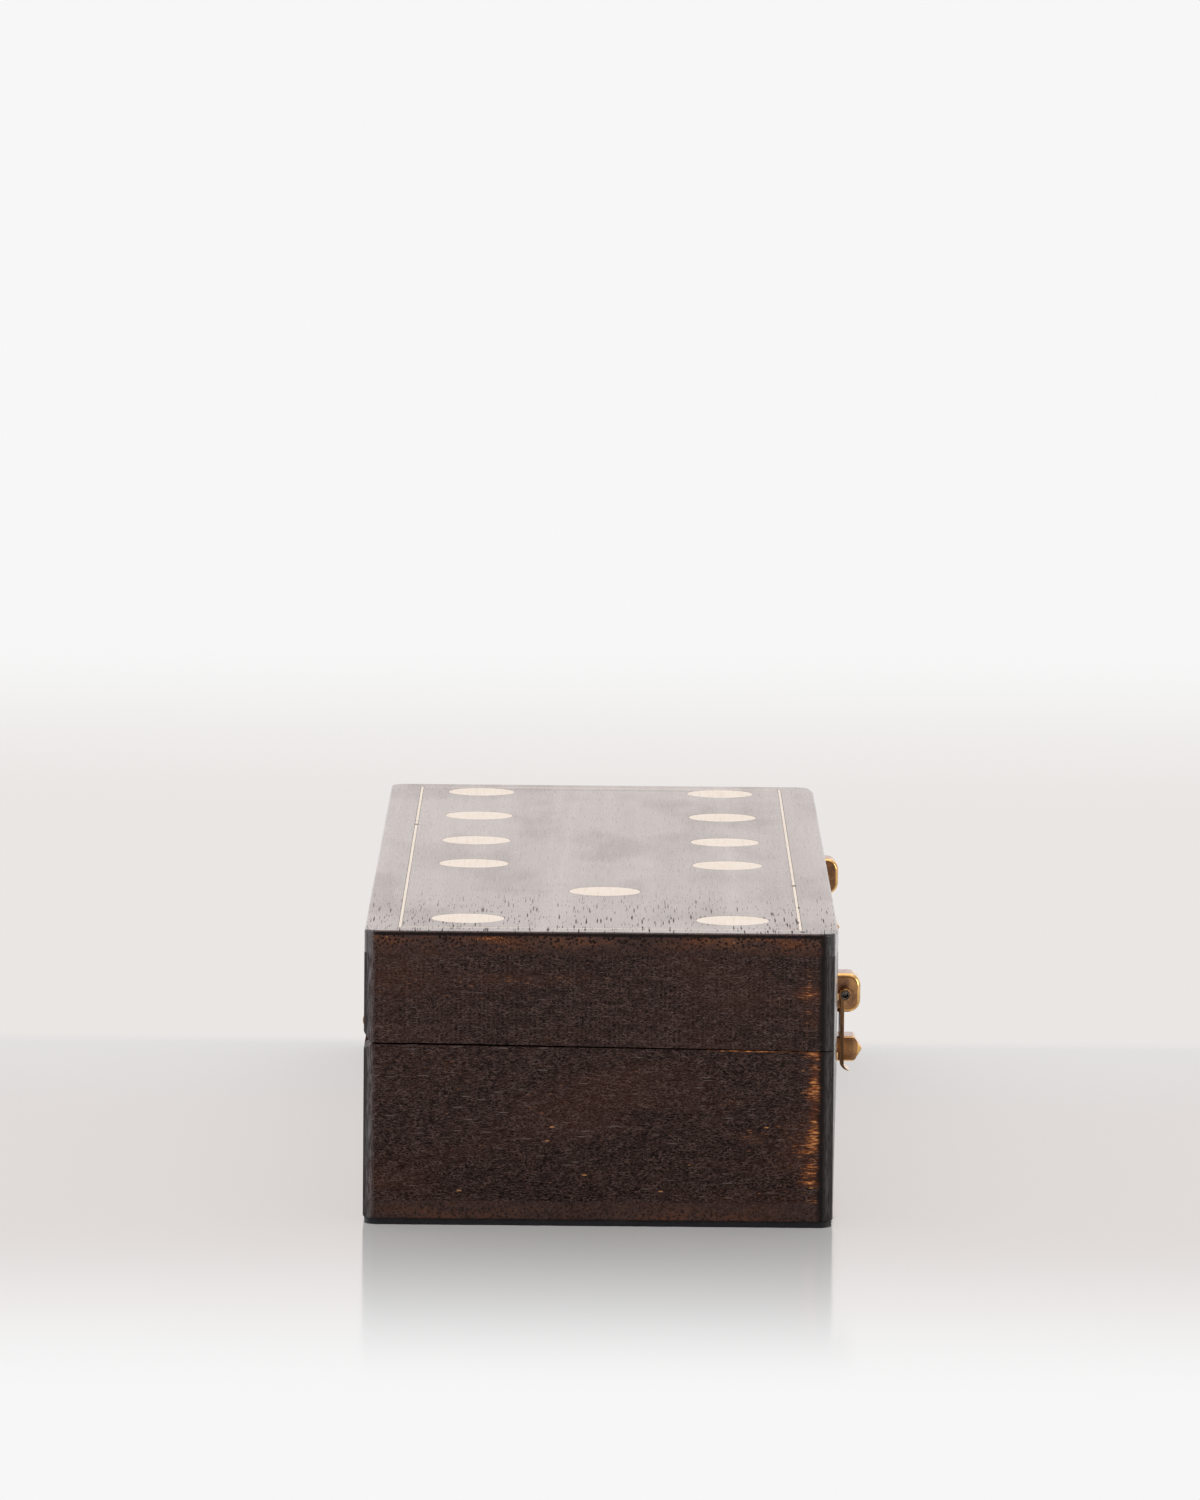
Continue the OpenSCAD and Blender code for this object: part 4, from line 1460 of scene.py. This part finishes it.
@dataclass(frozen=True)
class Softbox:
    """One square softbox, which the camera doesn't see.

    Attributes:
        name: Its name.
        place: Its middle.
        towards: The point that it faces.
        size: Its width and height.
        power: Its power, in watts.
        flagged: Whether it is kept off the floor, so that the floor doesn't mirror it.
        mirrored: Whether polished surfaces mirror it.
        colour: Its colour.
    """

    name: str
    place: Triple
    towards: Triple
    size: float
    power: float
    flagged: bool = True
    mirrored: bool = True
    colour: Triple = (0.94, 0.97, 1.0)

    def hang(self, floor: bpy.types.Object) -> None:
        """Hangs the lamp.

        Args:
            floor: The floor, which a flagged lamp is kept off.
        """
        data = bpy.data.lights.new(self.name, "AREA")
        data.shape = "RECTANGLE"
        data.size = self.size
        data.size_y = self.size
        data.energy = self.power
        data.color = self.colour
        lamp = bpy.data.objects.new(self.name, data)
        aim = (Vector(self.towards) - Vector(self.place)).to_track_quat("-Z", "Y").to_matrix().to_4x4()
        lamp.matrix_world = Matrix.Translation(self.place) @ aim
        lamp.visible_camera = False
        lamp.visible_glossy = self.mirrored
        bpy.context.scene.collection.objects.link(lamp)
        if self.flagged:
            kept_off = bpy.data.collections.new(f"{self.name}_flagged_off")
            kept_off.objects.link(floor)
            kept_off.collection_objects[0].light_linking.link_state = "EXCLUDE"
            lamp.light_linking.receiver_collection = kept_off


@dataclass
class Studio:
    """Camera, pale floor and soft light.

    Attributes:
        camera_place: The camera, in metres.
        pitch: How far it looks down, in degrees.
        yaw: How far it looks to the left, in degrees.
        roll: How far it leans, in degrees.
        focal_px: Focal length in pixels of the picture's long side.
        long_side_px: That side.
        sensor: The sensor's long side, in millimetres.
        dim_side: Brightness of the room on the camera's side.
        bright_side: Brightness of the room above and behind the box.
        backdrop: Brightness of the room as the camera sees it.
        mirrored: Tint of the room in reflections.
        white: Colour of the sheet away from the box.
        shaded_floor: Painted shade of the sheet round the box.
        shaded_wall_foot: Painted shade of the sheet where it turns up behind the box.
        floor_own_light: Share of the sheet's brightness that shadows don't reach.
        floor_gloss: Weight of its reflection in front of the box.
        floor_size: How far the floor runs each way.
        aim: The point of the box that the side lamps face.
    """

    camera_place: Triple = (-1.57134, 0.00109, 0.23503)
    pitch: float = 6.302
    yaw: float = -0.031
    roll: float = 0.519
    focal_px: float = 9888.0
    long_side_px: float = 1500.0
    sensor: float = 36.0
    dim_side: float = 0.3
    bright_side: float = 1.0
    backdrop: float = 0.93
    mirrored: Colour = (1.0, 0.92, 0.895, 1.0)
    white: Colour = tint(247, 247, 247)
    shaded_floor: Colour = tint(224, 222, 221)
    shaded_wall_foot: Colour = tint(234, 230, 228)
    floor_own_light: float = 0.6
    floor_gloss: float = 0.46
    floor_size: float = 20.0
    aim: Triple = (-0.09, 0.0, 0.03)

    def add_camera(self) -> None:
        """Sets the camera at the photograph's viewing angle."""
        pitch, yaw, roll = (math.radians(a) for a in (self.pitch, self.yaw, self.roll))
        ahead = Vector((math.cos(pitch) * math.cos(yaw), math.cos(pitch) * math.sin(yaw), -math.sin(pitch)))
        right = ahead.cross(Vector((0, 0, 1))).normalized()
        up = right.cross(ahead)
        leaned = right * math.cos(roll) + up * math.sin(roll)
        top = up * math.cos(roll) - right * math.sin(roll)
        data = bpy.data.cameras.new("camera")
        data.sensor_width = self.sensor
        data.lens = self.focal_px * self.sensor / self.long_side_px
        data.clip_end = 3 * self.floor_size
        camera = bpy.data.objects.new("camera", data)
        turn = Matrix((leaned, top, -ahead)).transposed().to_4x4()
        camera.matrix_world = Matrix.Translation(self.camera_place) @ turn
        bpy.context.scene.collection.objects.link(camera)
        bpy.context.scene.camera = camera

    def add_world(self) -> None:
        """Fills the studio with light from above and behind, and leaves the camera's side dim."""
        world = bpy.data.worlds.new("studio")
        g = Graph(world)
        along, _, up = g.axes(g.coordinates["Generated"])
        lit = g.math("MAXIMUM", g.ramp(along, -0.35, 0.55), g.ramp(up, 0.25, 0.9))
        feeds = {"Value": lit, "To Min": self.dim_side, "To Max": self.bright_side}
        strength = g.node("ShaderNodeMapRange", feeds).outputs[0]
        path = g.node("ShaderNodeLightPath", {}).outputs
        seen = g.math("MAXIMUM", path["Is Camera Ray"], path["Is Transmission Ray"])
        shown = g.node("ShaderNodeMix", {0: seen, 2: strength, 3: self.backdrop}).outputs[0]
        colour = g.mix(path["Is Glossy Ray"], WHITE, self.mirrored)
        room = g.node("ShaderNodeBackground", {"Color": colour, "Strength": shown})
        g.node("ShaderNodeOutputWorld", {0: room.outputs[0]})
        bpy.context.scene.world = world

    def floor_material(self) -> bpy.types.Material:
        """Pale sheet that takes shadows and faint reflections round the box, greyer there by painted shade,
        and turns white away from it.

        Returns:
            The material.
        """
        g = Graph.of_material("pale_floor")
        along, across, _ = g.axes(g.mm)
        aside = g.magnitude(across)
        behind = g.ramp(along, 95.0, 110.0)
        # Painted shade: the sheet is greyer round the box and at the wall's foot, and white further away.
        sheet = g.mix(g.ramp(along, -92.0, -255.0), self.shaded_floor, self.white)
        wall = g.mix(g.ramp(along, 430.0, 800.0), self.shaded_wall_foot, self.white)
        colour = g.mix(behind, sheet, wall)
        shadowed = g.node("ShaderNodeBsdfDiffuse", {"Color": colour})
        plain = g.node("ShaderNodeEmission", {"Color": colour, "Strength": 1.0})
        away = g.total((g.ramp(along, -150.0, -260.0), behind, g.ramp(aside, 60.0, 260.0)))
        own_light = g.ramp(away, 0.0, 1.0, self.floor_own_light, 1.0)
        share = g.times(g.node("ShaderNodeLightPath", {}).outputs["Is Camera Ray"], own_light)
        base = g.node("ShaderNodeMixShader", {0: share, 1: shadowed.outputs[0], 2: plain.outputs[0]})
        gloss = g.node("ShaderNodeBsdfGlossy", {"Color": colour, "Roughness": 0.1})
        weight = g.times(g.ramp(along, -240.0, -92.0, 0.0, self.floor_gloss),
                         g.ramp(along, 0.0, 110.0, 1.0, 0.0))
        weight = g.times(weight, g.ramp(aside, 320.0, 110.0))
        both = g.node("ShaderNodeMixShader", {0: weight, 1: base.outputs[0], 2: gloss.outputs[0]})
        g.node("ShaderNodeOutputMaterial", {0: both.outputs[0]})
        return g.owner

    def add_floor(self) -> bpy.types.Object:
        """Lays the floor under the box and far behind it.

        Returns:
            The floor.
        """
        bm = bmesh.new()
        bmesh.ops.create_grid(bm, x_segments=2, y_segments=2, size=self.floor_size)
        mesh = bpy.data.meshes.new("floor")
        bm.to_mesh(mesh)
        bm.free()
        floor = bpy.data.objects.new("floor", mesh)
        mesh.materials.append(self.floor_material())
        bpy.context.scene.collection.objects.link(floor)
        return floor

    def build(self) -> None:
        """Makes the whole studio."""
        self.add_camera()
        self.add_world()
        floor = self.add_floor()
        Softbox("overhead", (0.35, 0.0, 1.3), (0.0, 0.0, 0.0), 1.5, 6.0, flagged=False).hang(floor)
        Softbox("left", (-0.2, 0.95, 0.24), self.aim, 0.5, 2.6, mirrored=False).hang(floor)
        Softbox("right", (-0.48, -0.85, 0.24), self.aim, 0.5, 2.6).hang(floor)
        bpy.context.scene.view_settings.view_transform = "Standard"


def main() -> None:
    """Builds the studio and every sub-assembly, in order."""
    logging.basicConfig(level=logging.INFO, format="%(name)s: %(message)s")
    Studio().build()
    boards = Boards(Box())
    boards.build()
    Inlay(boards.dents_of_top()).build()
    brass = AgedBrass("aged_brass").make()
    dull = AgedBrass("dull_brass", bright=tint(172, 132, 92), deep=tint(140, 104, 72),
                     tarnish=tint(96, 68, 48), polish=0.3).make()
    steel = DullSteel().make()
    for side in ("left", "right"):
        Hinge(side).build(brass, steel)
        Clasp(side).build(brass, dull, steel)
    SmallFixings(brass).build()
    FeltSheet().build()


if __name__ == "__main__":
    main()
